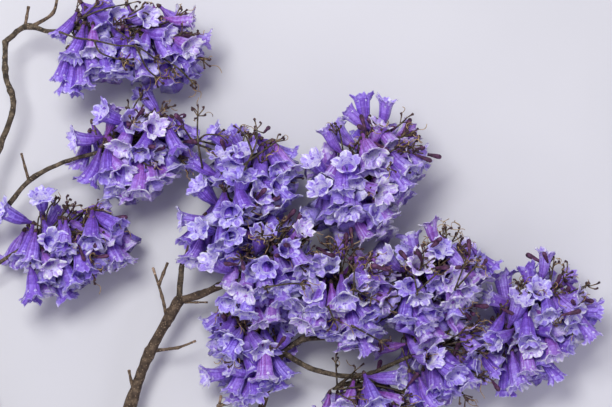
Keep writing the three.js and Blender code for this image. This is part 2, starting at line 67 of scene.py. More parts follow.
# Each limb's route, foot first, and its radii at its foot and at its tip, all in millimetres.
LIMBS = {
    "main_stem": ([[72, -230, 8], [72, -196, 8], [82, -154, 11], [92, -115, 14]], [8, 6.8]),
    "middle_limb": (
        [[92, -115, 14], [103, -60, 20], [128, 0, 28], [143, 42, 34], [160, 75, 39], [178, 106, 44]],
        [6.6, 5.4],
    ),
    "right_limb_foot": ([[92, -115, 14], [146, -94, 17], [206, -72, 21]], [5.8, 5]),
    "right_limb": ([[206, -72, 21], [250, -36, 26], [262, 0, 31], [270, 28, 35], [281, 54, 40]], [4.9, 4]),
    "left_limb_foot": ([[77, -175, 9.5], [38, -132, 13], [4, -66, 18]], [5.2, 4.6]),
    "left_limb": ([[4, -66, 18], [-20, 20, 26], [-30, 110, 34], [-20, 172, 39]], [4.5, 3.6]),
    "centre_bough": (
        [[178, 106, 44], [180, 128, 47], [184, 146, 50], [202, 152, 54], [223, 165, 60]],
        [3.7, 2.3],
    ),
    "low_bough": ([[178, 106, 44], [200, 112, 47], [222, 122, 50], [246, 135, 55]], [4.4, 3.1]),
    "upper_right_bough": ([[246, 135, 55], [276, 147, 54], [304, 166, 58], [328, 199, 64]], [2.9, 2.2]),
    "lower_bough": ([[281, 54, 40], [300, 66, 46], [318, 79, 55], [330, 98, 61]], [3.6, 2.4]),
    "right_bough": ([[302, 67, 47], [345, 71, 50], [385, 90, 56], [402, 108, 62]], [2.8, 2.1]),
    "lower_right_bough": ([[281, 54, 40], [315, 36, 42], [360, 30, 46], [405, 48, 54]], [3.4, 2.3]),
    "far_right_bough": ([[360, 30, 46], [412, 12, 43], [464, 32, 44], [500, 68, 46]], [2.8, 2.1]),
    "lower_left_bough": ([[-28, 128, 36], [-12, 138, 37], [6, 150, 39], [26, 162, 42]], [2.7, 2]),
    "left_bough": ([[-20, 172, 39], [0, 194, 42], [27, 226, 45], [60, 244, 48], [98, 255, 52]], [3.4, 2.2]),
    "upper_left_bough": (
        [[-20, 172, 39], [-12, 235, 42], [11, 298, 45], [4, 332, 47], [4, 366, 50]],
        [3.6, 3.1],
    ),
    "top_bough": ([[4, 366, 50], [25, 381, 52], [48, 376, 54], [68, 378, 56]], [3.2, 2.4]),
}
YOUNG_WOOD = 3.75  # limbs of this radius or less still have green in their bark
RING_STEP = 1.6  # along a limb
SCAR_STEP = 13.0  # from one leaf scar to the next, about
BARK_SHARE = 0.86  # of the solid's radius, before the swellings and scars stand out of it

# The limbs are drawn with the lower left corner of the view as their origin. The cut end of the
# main stem shows where that corner lies in the frame.
stem_route, stem_radii = LIMBS["main_stem"]
cut_middle = np.array(stem_route[0])
cut_corner = cut_middle - np.array([1, 0, 1]) * stem_radii[0]
view_corner = np.array(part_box("main_stem")[0]) - cut_corner * MM
NEARLY_UP = np.array([0.04, 0.03, 1.0])  # a way that no limb takes


def through(route, t):
    """Points at the shares t of a curve through the route's points: between two of them a cubic
    whose slope at each is half the step from the point before to the point after."""
    p = np.array(route, float)
    ends = np.vstack([2 * p[0] - p[1], p, 2 * p[-1] - p[-2]])
    place = np.clip(np.asarray(t, float), 0, 1) * (len(p) - 1)
    i = np.minimum(place.astype(int), len(p) - 2)
    w = (place - i)[..., None]
    a, b, c, d = (ends[i + k] for k in range(4))
    rise, fall = (c - a) / 2, (d - b) / 2
    return b + rise * w + (3 * (c - b) - 2 * rise - fall) * w**2 + (2 * (b - c) + rise + fall) * w**3


def unit(v):
    """Vectors along the last axis, each divided by its length."""
    return v / np.linalg.norm(v, axis=-1, keepdims=True)


def tube(centres, radii, relief=0.0):
    """Rings of corners round a path: centre + (radius + relief) (cos(a) side + sin(a) up), where
    side is level and square to the path and up is square to both. radii has one number for each
    ring, and relief one for each corner."""
    along = unit(np.gradient(centres, axis=0))
    side = unit(np.cross(NEARLY_UP, along))
    up = np.cross(along, side)
    turns = np.linspace(0, 2 * np.pi, np.shape(relief)[1], endpoint=False)
    reach = (radii[:, None] + relief)[..., None]
    return centres[:, None] + reach * (
        np.cos(turns)[:, None] * side[:, None] + np.sin(turns)[:, None] * up[:, None]
    )


def skins(grids):
    """Vertices and faces of closed skins. grids is skins x rings x corners x 3, and each skin's
    first and last ring close on a pole at their middle: four-sided faces between the rings, and
    three-sided ones round both poles."""
    count, rows, columns, _ = grids.shape
    size = rows * columns + 2
    poles = np.stack([grids[:, 0].mean(axis=1), grids[:, -1].mean(axis=1)], axis=1)
    points = np.concatenate([grids.reshape(count, rows * columns, 3), poles], axis=1)
    first = (np.arange(count) * size)[:, None, None]
    row, column = np.meshgrid(np.arange(rows - 1), np.arange(columns), indexing="ij")
    beside = (column + 1) % columns
    corner = row * columns
    quads = np.stack(
        [corner + column, corner + beside, corner + columns + beside, corner + columns + column], axis=-1
    ).reshape(-1, 4)
    ring = np.arange(columns)
    around = (ring + 1) % columns
    last = (rows - 1) * columns
    foot = np.stack([around, ring, np.full(columns, rows * columns)], axis=-1)
    tip = np.stack([last + ring, last + around, np.full(columns, rows * columns + 1)], axis=-1)
    triangles = np.concatenate([foot, tip])
    return (
        points.reshape(-1, 3),
        (first + quads[None]).reshape(-1, 4),
        (first + triangles[None]).reshape(-1, 3),
    )


def make_piece(name, grids_and_slots, finishes):
    """One object from one or more groups of skins. Each group is (grids, slots), where slots has
    one material slot for each skin, row and column, the last two rows being the foot and the tip
    pole, or is one number for them all."""
    points, corners, sizes, slots = [], [], [], []
    first = 0
    for grids, slot in grids_and_slots:
        count, rows, columns, _ = grids.shape
        vertices, quads, triangles = skins(grids)
        slot = np.broadcast_to(np.asarray(slot), (count, rows + 1, columns))
        points.append(vertices)
        corners += [quads.ravel() + first, triangles.ravel() + first]
        sizes += [np.full(len(quads), 4), np.full(len(triangles), 3)]
        slots += [slot[:, :-2].ravel(), slot[:, -2:].ravel()]
        first += len(vertices)
    points = np.concatenate(points)
    points[:, 2] = np.maximum(points[:, 2], 0)  # what would sink into the ground lies flat on it
    points = points * MM + view_corner
    corners, sizes, slots = map(np.concatenate, (corners, sizes, slots))
    mesh = bpy.data.meshes.new(name)
    mesh.vertices.add(len(points))
    mesh.vertices.foreach_set("co", points.astype(np.float32).ravel())
    mesh.loops.add(len(corners))
    mesh.loops.foreach_set("vertex_index", corners.astype(np.int32))
    mesh.polygons.add(len(sizes))
    mesh.polygons.foreach_set("loop_start", np.concatenate([[0], np.cumsum(sizes)[:-1]]).astype(np.int32))
    mesh.polygons.foreach_set("material_index", slots.astype(np.int32))
    mesh.polygons.foreach_set("use_smooth", np.ones(len(sizes), bool))
    for finish in finishes:
        mesh.materials.append(finish)
    mesh.update(calc_edges=True)
    piece = bpy.data.objects.new(name, mesh)
    bpy.context.scene.collection.objects.link(piece)
    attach(piece, "root")
    return piece


def shader(name, roughness, **sockets):
    """A new material with its surface shader and the values that are the same all over."""
    material = bpy.data.materials.new(name)
    material.use_nodes = True
    surface = material.node_tree.nodes["Principled BSDF"]
    surface.inputs["Roughness"].default_value = roughness
    for socket, value in sockets.items():
        surface.inputs[socket.replace("_", " ")].default_value = value
    return material, surface


def noise(material, scale, detail=3.0, stretch=(1, 1, 1)):
    """A cloudy pattern fixed to the object, scale being its waves in a metre."""
    nodes, links = material.node_tree.nodes, material.node_tree.links
    place = nodes.new("ShaderNodeTexCoord")
    mapping = nodes.new("ShaderNodeMapping")
    pattern = nodes.new("ShaderNodeTexNoise")
    mapping.inputs["Scale"].default_value = stretch
    pattern.inputs["Scale"].default_value = scale
    pattern.inputs["Detail"].default_value = detail
    links.new(place.outputs["Object"], mapping.inputs["Vector"])
    links.new(mapping.outputs["Vector"], pattern.inputs["Vector"])
    return pattern


def colours_along(material, pattern, stops, surface):
    """Base colours dealt out along a pattern, each from its own share on."""
    nodes, links = material.node_tree.nodes, material.node_tree.links
    ramp = nodes.new("ShaderNodeValToRGB")
    bands = ramp.color_ramp.elements
    while len(bands) < len(stops):
        bands.new(0.5)
    for band, (share, colour) in zip(bands, stops):
        band.position = share
        band.color = (*colour, 1)
    links.new(pattern.outputs[0], ramp.inputs["Fac"])
    links.new(ramp.outputs["Color"], surface.inputs["Base Color"])


def raised(material, patterns, surface):
    """Bumps one upon another, each a pattern with its height in metres."""
    nodes, links = material.node_tree.nodes, material.node_tree.links
    below = None
    for pattern, height in patterns:
        bump = nodes.new("ShaderNodeBump")
        bump.inputs["Distance"].default_value = height
        links.new(pattern.outputs[0], bump.inputs["Height"])
        if below:
            links.new(below.outputs["Normal"], bump.inputs["Normal"])
        below = bump
    links.new(below.outputs["Normal"], surface.inputs["Normal"])


PORE_EDGE = (0.3, 0.16)  # how far from a cell's middle its pore begins, and where it is full
PORE_GAIN = 1.5  # how much paler a pore is than the palest bark


def pores(material, scale):
    """Small round pores: 1 near the middle of each cell of a cell pattern, and 0 elsewhere."""
    nodes, links = material.node_tree.nodes, material.node_tree.links
    place = nodes.new("ShaderNodeTexCoord")
    cells = nodes.new("ShaderNodeTexVoronoi")
    cells.inputs["Scale"].default_value = scale
    edge = nodes.new("ShaderNodeMapRange")
    edge.inputs["From Min"].default_value, edge.inputs["From Max"].default_value = PORE_EDGE
    links.new(place.outputs["Object"], cells.inputs["Vector"])
    links.new(cells.outputs["Distance"], edge.inputs["Value"])
    return edge


def bark(name, dark, mid, pale):
    """Dull bark in three tones, with fine grain and pale raised pores."""
    material, surface = shader(name, 0.82)
    colours_along(material, noise(material, 190, 6.0), [(0.3, dark), (0.5, mid), (0.7, pale)], surface)
    nodes, links = material.node_tree.nodes, material.node_tree.links
    spots = pores(material, 330)
    blend = nodes.new("ShaderNodeMix")
    blend.data_type = "RGBA"
    blend.inputs["B"].default_value = (*(PORE_GAIN * c for c in pale), 1)
    links.new(spots.outputs[0], blend.inputs["Factor"])
    links.new(surface.inputs["Base Color"].links[0].from_socket, blend.inputs["A"])
    links.new(blend.outputs["Result"], surface.inputs["Base Color"])
    raised(
        material,
        [(noise(material, 900, 4.0), 0.0004), (noise(material, 260, 2.0), 0.0009), (spots, 0.0003)],
        surface,
    )
    return material


old_bark = bark("grey_brown_bark", (0.024, 0.015, 0.009), (0.076, 0.05, 0.03), (0.165, 0.117, 0.073))
young_bark = bark("greenish_bark", (0.019, 0.014, 0.009), (0.07, 0.052, 0.032), (0.18, 0.138, 0.088))


def cut_wood(name, centre):
    """Fresh pale wood with growth rings round the middle of the cut, which faces along Y."""
    material, surface = shader(name, 0.7)
    nodes, links = material.node_tree.nodes, material.node_tree.links
    place = nodes.new("ShaderNodeTexCoord")
    middle = nodes.new("ShaderNodeMapping")
    middle.inputs["Location"].default_value = tuple(-c for c in centre)
    rings = nodes.new("ShaderNodeTexWave")
    rings.wave_type, rings.rings_direction = "RINGS", "Y"
    rings.inputs["Scale"].default_value = 330
    rings.inputs["Distortion"].default_value = 1.2
    links.new(place.outputs["Object"], middle.inputs["Vector"])
    links.new(middle.outputs["Vector"], rings.inputs["Vector"])
    stops = [(0.1, (0.36, 0.24, 0.13)), (0.5, (0.5, 0.37, 0.22)), (0.9, (0.58, 0.46, 0.3))]
    colours_along(material, rings, stops, surface)
    raised(material, [(noise(material, 1500, 3.0), 0.0002)], surface)
    return material


cut_face = cut_wood("cut_face", view_corner + cut_middle * MM)
DOME = np.radians([80, 58, 30])  # how far round each dome ring lies from the limb's last ring
FLAT_FEET = ("main_stem",)
LENGTH_STEPS = 60
FEWEST_RINGS = 6
OLD_SIDES, YOUNG_SIDES = 18, 12
ANY_TURN = (0, 6.3)  # about a full turn
WAVE_RATE = (0.05, 0.5)  # along the limb, in radians for each millimetre
WAVE_TURNS = (1, 2, 3, 1, 4)  # round it
WAVE_RISE, COLLAR_RISE = 0.022, 0.27  # of the radius there
COLLAR_LENGTH, SCAR_RISE = 1.6, 0.13  # of the radius at the foot
SCAR_LENGTH, SCAR_WIDTH = 1.9, 2.6


def wood_grid(route, radii, seed, swellings=(), foot_dome=1.0, tip_dome=1.0):
    """A limb's rings: the tapering radius, plus slow unevenness (sines along and round it), plus
    leaf scars (a bell curve about each one's place) and a swelling at each branch. Both ends go
    on as domes, with rings at radius sin(a) beyond the end and radius cos(a) wide, so that two
    limbs that meet at an angle make a round elbow."""
    random = np.random.default_rng(seed)
    line = through(route, np.linspace(0, 1, LENGTH_STEPS))
    length = np.linalg.norm(np.diff(line, axis=0), axis=1).sum()
    ring_count = max(FEWEST_RINGS, int(length / RING_STEP))
    sides = OLD_SIDES if radii[0] > YOUNG_WOOD else YOUNG_SIDES
    t = np.linspace(0, 1, ring_count)
    s = (t * length)[:, None]
    a = np.linspace(0, 2 * np.pi, sides, endpoint=False)[None]
    radius = BARK_SHARE * (radii[0] + (radii[1] - radii[0]) * t)
    waves = sum(
        np.sin(s * random.uniform(*WAVE_RATE) + k * a + random.uniform(*ANY_TURN)) for k in WAVE_TURNS
    )
    scars = 0.0
    for _ in range(int(length / SCAR_STEP) + 1):
        off = np.angle(np.exp(1j * (a - random.uniform(*ANY_TURN)))) * radius[:, None]
        away = s - random.uniform(0, length)
        scars = scars + np.exp(-(away / SCAR_LENGTH) ** 2 - (off / SCAR_WIDTH) ** 2)
    collar = sum(np.exp(-((s - at * length) / (COLLAR_LENGTH * radii[0])) ** 2) for at in swellings)
    relief = radius[:, None] * (WAVE_RISE * waves + COLLAR_RISE * collar) + SCAR_RISE * radii[0] * scars
    rings = tube(through(route, t), radius, relief)
    foot, tip = rings[0].mean(axis=0), rings[-1].mean(axis=0)
    foot_way = unit(foot - rings[1].mean(axis=0))
    tip_way = unit(tip - rings[-2].mean(axis=0))
    sine, cosine = np.sin(DOME)[:, None, None], np.cos(DOME)[:, None, None]
    parts = [rings]
    if foot_dome:
        beyond = foot_way * radius[0] * foot_dome * sine
        parts.insert(0, foot + beyond + (rings[0] - foot) * cosine)
    if tip_dome:
        beyond = tip_way * radius[-1] * tip_dome * sine
        parts.append((tip + beyond + (rings[-1] - tip) * cosine)[::-1])
    return np.concatenate(parts)[None]


# Where along each limb another one leaves it.
SWELLINGS = {
    "main_stem": [0.52, 1], "middle_limb": [0, 0.42, 0.66, 0.9, 1], "right_limb": [0.1, 0.95],
    "left_limb": [0.72, 1], "centre_bough": [0.55, 0.62], "lower_bough": [0.35], "top_bough": [0.35, 0.42],
    "lower_right_bough": [0.66], "left_bough": [0.55], "low_bough": [0.3, 0.62, 1],
    "upper_left_bough": [0.14, 0.34, 0.62, 0.8, 1], "upper_right_bough": [0, 0.45, 0.8],
    "right_limb_foot": [0, 0.5, 1],
}
LIMB_SEED = 500
for number, (name, (route, radii)) in enumerate(LIMBS.items()):
    foot_dome = 0.0 if name in FLAT_FEET else 1.0
    grid = wood_grid(route, radii, LIMB_SEED + number, SWELLINGS.get(name, [0, 1]), foot_dome)
    finish = young_bark if radii[0] <= YOUNG_WOOD else old_bark
    is_foot = np.arange(grid.shape[1] + 1) == grid.shape[1] - 1
    piece = make_piece(f"{name}_bark", [(grid, is_foot[None, :, None] * 1)], [finish, cut_face])
    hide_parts(name)


# The bare twigs: the ends of last year's panicles and dead shoots, dry and blunt where they broke
# off. They are the same wood, thinner, and some keep a second prong.
# Each twig's routes, the second being its prong, and its radii at foot and tip.
BARE_TWIGS = {
    "left_twig": (
        [[[166, 84, 39], [161, 110, 43], [152, 139, 47]], [[158, 122, 45], [167, 144, 50]]],
        [2, 1.3],
    ),
    "right_twig": ([[[154, 55, 36], [176, 58, 39], [195, 65, 43]]], [2.1, 1.1]),
    "low_stub": ([[[131, 14, 30], [127, 35, 35]]], [1.8, 1.5]),
    "fork_twig": ([[[184, 104, 44], [207, 104, 45]]], [1.3, 1]),
    "thin_twig": ([[[183, 144, 50], [188, 160, 53], [197, 176, 55]]], [1.7, 1.1]),
    "old_stump": ([[[188, 146, 52], [199, 166, 57]]], [2.5, 2.3]),
    "right_stub": ([[[277, 52, 39], [273, 78, 43]]], [1.6, 1]),
    "foot_twig": (
        [[[216, -66, 22], [215, -20, 27], [220, 9, 30]], [[217, -2, 29], [238, 5, 31]]],
        [2.2, 1.4],
    ),
    "left_prong": ([[[27, 226, 45], [20, 254, 49]]], [1.7, 1.2]),
    "top_prong": ([[[24, 381, 52], [28, 401, 55]]], [1.7, 1.6]),
    "top_twig": ([[[31, 381, 52], [52, 394, 55], [58, 414, 58]]], [2.3, 1.5]),
}
dry_bark = bark("dry_twig_bark", (0.045, 0.029, 0.018), (0.12, 0.08, 0.048), (0.24, 0.175, 0.115))
dry_tip = bark("bleached_twig_tip", (0.14, 0.085, 0.055), (0.33, 0.225, 0.15), (0.5, 0.38, 0.27))
TIP_SHARE = 0.22  # of a twig's rings, bleached
TWIG_SEED = 700
TWIG_SWELLINGS = [0, 0.5, 0.97]
BLUNT = 0.3  # of a whole dome
for number, (name, (routes, radii)) in enumerate(BARE_TWIGS.items()):
    groups = []
    for k, route in enumerate(routes):
        grid = wood_grid(route, radii, TWIG_SEED + 10 * number + k, TWIG_SWELLINGS, tip_dome=BLUNT)
        rows = np.arange(grid.shape[1] + 1)
        bleached = (rows > (1 - TIP_SHARE) * len(rows)) & (rows != len(rows) - 2)
        groups.append((grid, bleached[None, :, None] * 1))
    piece = make_piece(f"{name}_bark", groups, [dry_bark, dry_tip])
    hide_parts(name)


# How a panicle grows. Pairs of peduncles leave its rachis crosswise and one goes on from its tip,
# and each carries up to three blooms on pedicels. It is the rule that the solids grew by, with
# the same seeds, so the same blooms stand in the same places.
PANICLE_FIELDS = ("rachis", "room", "pairs", "seed", "foremost")
# Each panicle's rachis (its foot, middle and tip), its room (an egg's middle and its reach along X,
# Y and Z), its pairs of peduncles, its seed, and how many of its foremost blooms are single pieces.
PANICLES = {
    "centre": ([[223, 165, 60], [236, 206, 68], [258, 262, 74]], [[228, 208, 66], [74, 74, 58]], 7, 11, 2),
    "lower": ([[330, 98, 61], [334, 112, 70], [352, 142, 80]], [[345, 118, 64], [64, 62, 60]], 6, 23, 2),
    "upper_right": (
        [[328, 199, 64], [350, 228, 70], [378, 266, 74]], [[362, 240, 66], [70, 76, 56]], 7, 37, 3,
    ),
    "middle": ([[246, 135, 55], [258, 144, 72], [278, 156, 88]], [[272, 144, 82], [64, 60, 60]], 6, 41, 2),
    "right": ([[402, 108, 62], [420, 122, 70], [446, 150, 78]], [[428, 126, 62], [62, 60, 56]], 6, 59, 2),
    "lower_right": ([[405, 48, 54], [425, 56, 60], [452, 66, 64]], [[436, 50, 54], [62, 56, 54]], 6, 68, 1),
    "upper_left": (
        [[68, 378, 56], [112, 384, 60], [164, 370, 62]], [[134, 350, 58], [82, 62, 52]], 7, 71, 3,
    ),
    "left": ([[98, 255, 52], [126, 266, 56], [160, 276, 58]], [[130, 262, 54], [66, 58, 50]], 6, 83, 1),
    "bottom": ([[350, 31, 45], [362, 16, 54], [384, 4, 60]], [[368, 0, 52], [58, 52, 48]], 5, 97, 1),
    "inner": ([[266, 16, 33], [254, 46, 36], [248, 84, 38]], [[246, 62, 38], [52, 60, 42]], 5, 101, 1),
    "far_right": ([[500, 68, 46], [524, 84, 52], [552, 106, 56]], [[534, 86, 52], [74, 70, 50]], 7, 114, 1),
    "lower_left": ([[26, 162, 42], [56, 176, 48], [92, 188, 52]], [[58, 166, 48], [70, 60, 48]], 6, 127, 1),
}
PANICLES = {name: dict(zip(PANICLE_FIELDS, row)) for name, row in PANICLES.items()}
BLOOM_LENGTH = 44.0
LOBE_COUNT = 5
LOBE_TIP = (41.0, 14.5)  # along the bloom, and out from its axis
PEDUNCLE_RADIUS = 1.7
PEDUNCLE_LENGTH = (10, 16)
PEDICEL_LENGTH = (6, 10)
JOINT = 2.4  # from one pedicel's foot to the next
FORK_WAYS = 3  # pedicels leave their peduncle's tip at thirds of a turn
FIRST_PAIR = 0.6  # up the rachis, as a share of the step from pair to pair
TURN_SPREAD = 0.5
SIDE_LEAN = (1.35, 0.6)  # of a peduncle off the rachis, at its foot and at its tip
LEAN_SPREAD = 0.25
END_OPEN = 0.35  # of the pedicel at a peduncle's tip off its line, either way
SIDE_OPEN = (0.6, 1.1)  # of the pedicels below it
SWING_SPREAD = 0.3
BLOOM_SCALE = (0.88, 1.08)
WEIGHT_PULL = 0.3  # how far a bloom's weight turns it down the branch
SWAY = 0.4
ATTEMPTS = 6
DOWN_THE_BRANCH = np.array([0.15, -1, -0.1])
UPWARD = np.array([0.0, 0.0, 1.0])
GIRTH = np.array([[4, 2.5], [14, 4.5], [26, 6.5], [37, 10.5]])  # along a bloom, and the ball there
LOBE_GIRTH = (39.0, 12.5, 2.8)  # along it, out from its axis, and the ball on each lobe
STALK_BALLS = np.array([[0.4], [0.7], [1.0]])  # along a stalk
LIMB_CLEARANCE = 0.5
TANGENT_STEP = 1e-4


def seeded(seed):
    """Even random numbers from 0 to 1: a counter stepped by a large odd number, its bits mixed
    by two rounds of shifts and products."""
    state = [seed]

    def draw():
        state[0] = (state[0] + 0x6D2B79F5) & 0xFFFFFFFF
        t = state[0]
        t = ((t ^ (t >> 15)) * (t | 1)) & 0xFFFFFFFF
        t ^= (t + ((t ^ (t >> 7)) * (t | 61))) & 0xFFFFFFFF
        return ((t ^ (t >> 14)) & 0xFFFFFFFF) / 4294967296

    return draw


def square_to(direction, hint):
    """Two directions square to one: the part of the hint that is square to it, and the third."""
    across = unit(hint - direction * np.sum(hint * direction, axis=-1, keepdims=True))
    return across, np.cross(direction, across)


def leaning(along, lean, turn, hint):
    """cos(lean) along + sin(lean) (cos(turn) across + sin(turn) aside)."""
    across, aside = square_to(along, hint)
    return along * math.cos(lean) + (across * math.cos(turn) + aside * math.sin(turn)) * math.sin(lean)


def rachis_point(rachis, t):
    """(1 - t)^2 foot + 2 (1 - t) t middle + t^2 tip."""
    a, b, c = np.array(rachis, float)
    return (1 - t) ** 2 * a + 2 * (1 - t) * t * b + t**2 * c


def rachis_way(rachis, t):
    """The way along a rachis: from a point just before t to one just after it."""
    low, high = max(t - TANGENT_STEP, 0.0), min(t + TANGENT_STEP, 1.0)
    return unit(rachis_point(rachis, high) - rachis_point(rachis, low))


def to_stretch(points, a, b):
    """Each point's distance to each stretch from a to b, and the share along it that is nearest."""
    run = b - a
    share = np.clip(((points[:, None] - a) * run).sum(-1) / (run * run).sum(-1), 0, 1)
    return np.linalg.norm(points[:, None] - (a + run * share[..., None]), axis=-1), share


limb_from, limb_to, limb_near, limb_far = [], [], [], []
for route, ends in LIMBS.values():
    radii = np.linspace(*ends, len(route))
    limb_from += route[:-1]
    limb_to += route[1:]
    limb_near += list(radii[:-1])
    limb_far += list(radii[1:])
limb_from, limb_to, limb_near, limb_far = map(np.array, (limb_from, limb_to, limb_near, limb_far))


def touches_limb(balls):
    """Whether a ball comes nearer to a limb's line than both radii and the clearance."""
    distance, share = to_stretch(balls[:, :3], limb_from, limb_to)
    radius = limb_near + (limb_far - limb_near) * share
    return bool((distance < balls[:, 3:] + radius + LIMB_CLEARANCE).any())


def touches_stalk(balls, stalks, crowding):
    """Whether a stalk's line comes nearer to a ball's middle than the stalk's radius and the share
    crowding of the ball's."""
    if not len(balls) or not len(stalks):
        return False
    stalks = np.array(stalks)
    distance, _ = to_stretch(balls[:, :3], stalks[:, 0], stalks[:, 1])
    return bool((distance < crowding * balls[:, 3:] + PEDUNCLE_RADIUS).any())


def touching(balls, others, share):
    """Whether two balls' middles are nearer than the share of both radii."""
    if not len(others):
        return False
    apart = np.linalg.norm(balls[:, None, :3] - others[None, :, :3], axis=-1)
    return bool((apart < share * (balls[:, None, 3] + others[None, :, 3])).any())


def stalk_balls(start, end):
    """Balls as thick as a stalk, at the shares of STALK_BALLS along it."""
    middles = start + (end - start) * STALK_BALLS
    return np.hstack([middles, np.full((len(middles), 1), PEDUNCLE_RADIUS)])


def girth_balls(foot, axis, scale):
    """Balls that fill a bloom's tube and mouth: foot + scale along axis."""
    return np.hstack([foot + axis * GIRTH[:, :1] * scale, GIRTH[:, 1:] * scale])


def lobe_balls(foot, axis, hang, scale):
    """A ball on each lobe: foot + scale (along axis + out (cos(turn) across + sin(turn) aside))."""
    along, out, radius = LOBE_GIRTH
    across, aside = square_to(axis, hang)
    turns = (2 * np.arange(LOBE_COUNT)[:, None] + 1) * np.pi / LOBE_COUNT
    rim = foot + axis * along * scale + (across * np.cos(turns) + aside * np.sin(turns)) * out * scale
    return np.hstack([rim, np.full((LOBE_COUNT, 1), radius * scale)])


def lift_off_ground(foot, axis, scale):
    """Turns a bloom up until its lowest lobe rests on the ground, where
    foot + a sin(e) - r cos(e) = 0 for a lobe tip at a along and r out, e being the axis's rise."""
    along, out = LOBE_TIP
    sine = -foot[2] / (scale * math.hypot(out, along))
    rise = math.atan2(out, along) + math.asin(min(max(sine, -1), 1))
    if math.asin(min(max(axis[2], -1), 1)) >= rise:
        return axis, False
    flat = unit(np.array([axis[0], axis[1], 0.0])) * math.cos(rise)
    return np.array([flat[0], flat[1], math.sin(rise)]), True


def nodes_on(pairs, offset, turned):
    """Where the peduncles leave a rachis: its share, the turn round it and the lean off it."""
    spots = []
    for i in range(pairs):
        t = (i + offset) / pairs
        lean = SIDE_LEAN[0] + (SIDE_LEAN[1] - SIDE_LEAN[0]) * t
        spots += [(t, i * math.pi / 2 + turned, lean), (t, i * math.pi / 2 + turned + math.pi, lean)]
    return spots


def grow(panicle, draw, spots, others, grown, crowding, stalk_crowding, lengths, pull):
    """Grows clusters at the spots of one rachis. others is what other panicles hold, and grown
    what this one holds. What would leave the panicle's room, touch a limb or another panicle, or
    crowd its own, is tried again at another angle and then skipped."""

    def spread(size):
        """An even draw from -size to size."""
        return (draw() - 0.5) * 2 * size

    def between(ends):
        """An even draw between two ends."""
        return ends[0] + (ends[1] - ends[0]) * draw()

    rachis = panicle["rachis"]
    centre, reach = np.array(panicle["room"], float)
    clusters = []
    for t, turn, node_lean in spots:
        start, along = rachis_point(rachis, t), rachis_way(rachis, t)
        fork = None
        for _ in range(ATTEMPTS):
            lean = node_lean + spread(LEAN_SPREAD)
            way = leaning(along, lean, turn + spread(TURN_SPREAD), UPWARD)
            end = start + way * between(lengths)
            near = np.vstack([others["balls"], grown["girths"]])
            if touches_stalk(near, [(start, end)], stalk_crowding):
                continue
            if not touches_limb(stalk_balls(start, end)):
                fork = end
                break
        if fork is None:
            continue
        grown["stalks"].append((start, fork))
        first_side = math.floor(draw() * FORK_WAYS)
        cluster = np.zeros((0, 4))
        blooms = []
        for place in range(FORK_WAYS):
            side = (first_side + place) % FORK_WAYS
            for _ in range(ATTEMPTS):
                opened = spread(END_OPEN) if place == 0 else between(SIDE_OPEN)
                swing = (2 * side + 1) * math.pi / FORK_WAYS + spread(SWING_SPREAD)
                length = between(PEDICEL_LENGTH)
                scale = between(BLOOM_SCALE)
                sway = np.array([spread(SWAY), spread(SWAY), spread(SWAY)])
                stem = leaning(way, opened, swing, along)
                root = fork - way * JOINT * place
                foot = root + stem * length
                axis = unit(stem + DOWN_THE_BRANCH * pull + sway)
                axis, rests = lift_off_ground(foot, axis, scale)
                hang = UPWARD if rests else DOWN_THE_BRANCH
                girth = girth_balls(foot, axis, scale)
                whole = np.vstack([girth, lobe_balls(foot, axis, hang, scale)])
                if np.linalg.norm((girth[-1, :3] - centre) / reach) > 1:
                    continue
                if touches_limb(np.vstack([whole, stalk_balls(root, foot)])):
                    continue
                if touches_stalk(girth, grown["stalks"], stalk_crowding):
                    continue
                if touches_stalk(girth, others["stalks"], stalk_crowding):
                    continue
                if touching(girth, grown["girths"], crowding):
                    continue
                if touching(whole, cluster, crowding / CROWDING):
                    continue
                if touching(whole, others["balls"], crowding / CROWDING):
                    continue
                grown["girths"] = np.vstack([grown["girths"], girth])
                cluster = np.vstack([cluster, whole])
                blooms.append({
                    "root": root, "stem": stem, "foot": foot, "axis": axis, "hang": hang, "scale": scale,
                })
                break
        grown["wholes"] = np.vstack([grown["wholes"], cluster])
        if blooms:
            clusters.append({"start": start, "fork": fork, "way": way, "blooms": blooms})
    return clusters


CROWDING = 0.95
STALK_CROWDING = 0.85
others = {"balls": np.zeros((0, 4)), "stalks": []}
grown_in = {}
main_clusters = {}
draws = {}
for name, panicle in PANICLES.items():
    draws[name] = seeded(panicle["seed"])
    rachis = panicle["rachis"]
    grown = {
        "girths": np.zeros((0, 4)),
        "wholes": np.zeros((0, 4)),
        "stalks": [(rachis_point(rachis, t), rachis_point(rachis, t + 0.5)) for t in (0, 0.5)],
    }
    spots = nodes_on(panicle["pairs"], FIRST_PAIR, 0.0) + [(1.0, 0.0, 0.0)]
    main_clusters[name] = grow(
        panicle, draws[name], spots, others, grown, CROWDING, STALK_CROWDING, PEDUNCLE_LENGTH,
        WEIGHT_PULL,
    )
    grown_in[name] = grown
    others["balls"] = np.vstack([others["balls"], grown["wholes"]])
    others["stalks"] = others["stalks"] + grown["stalks"]


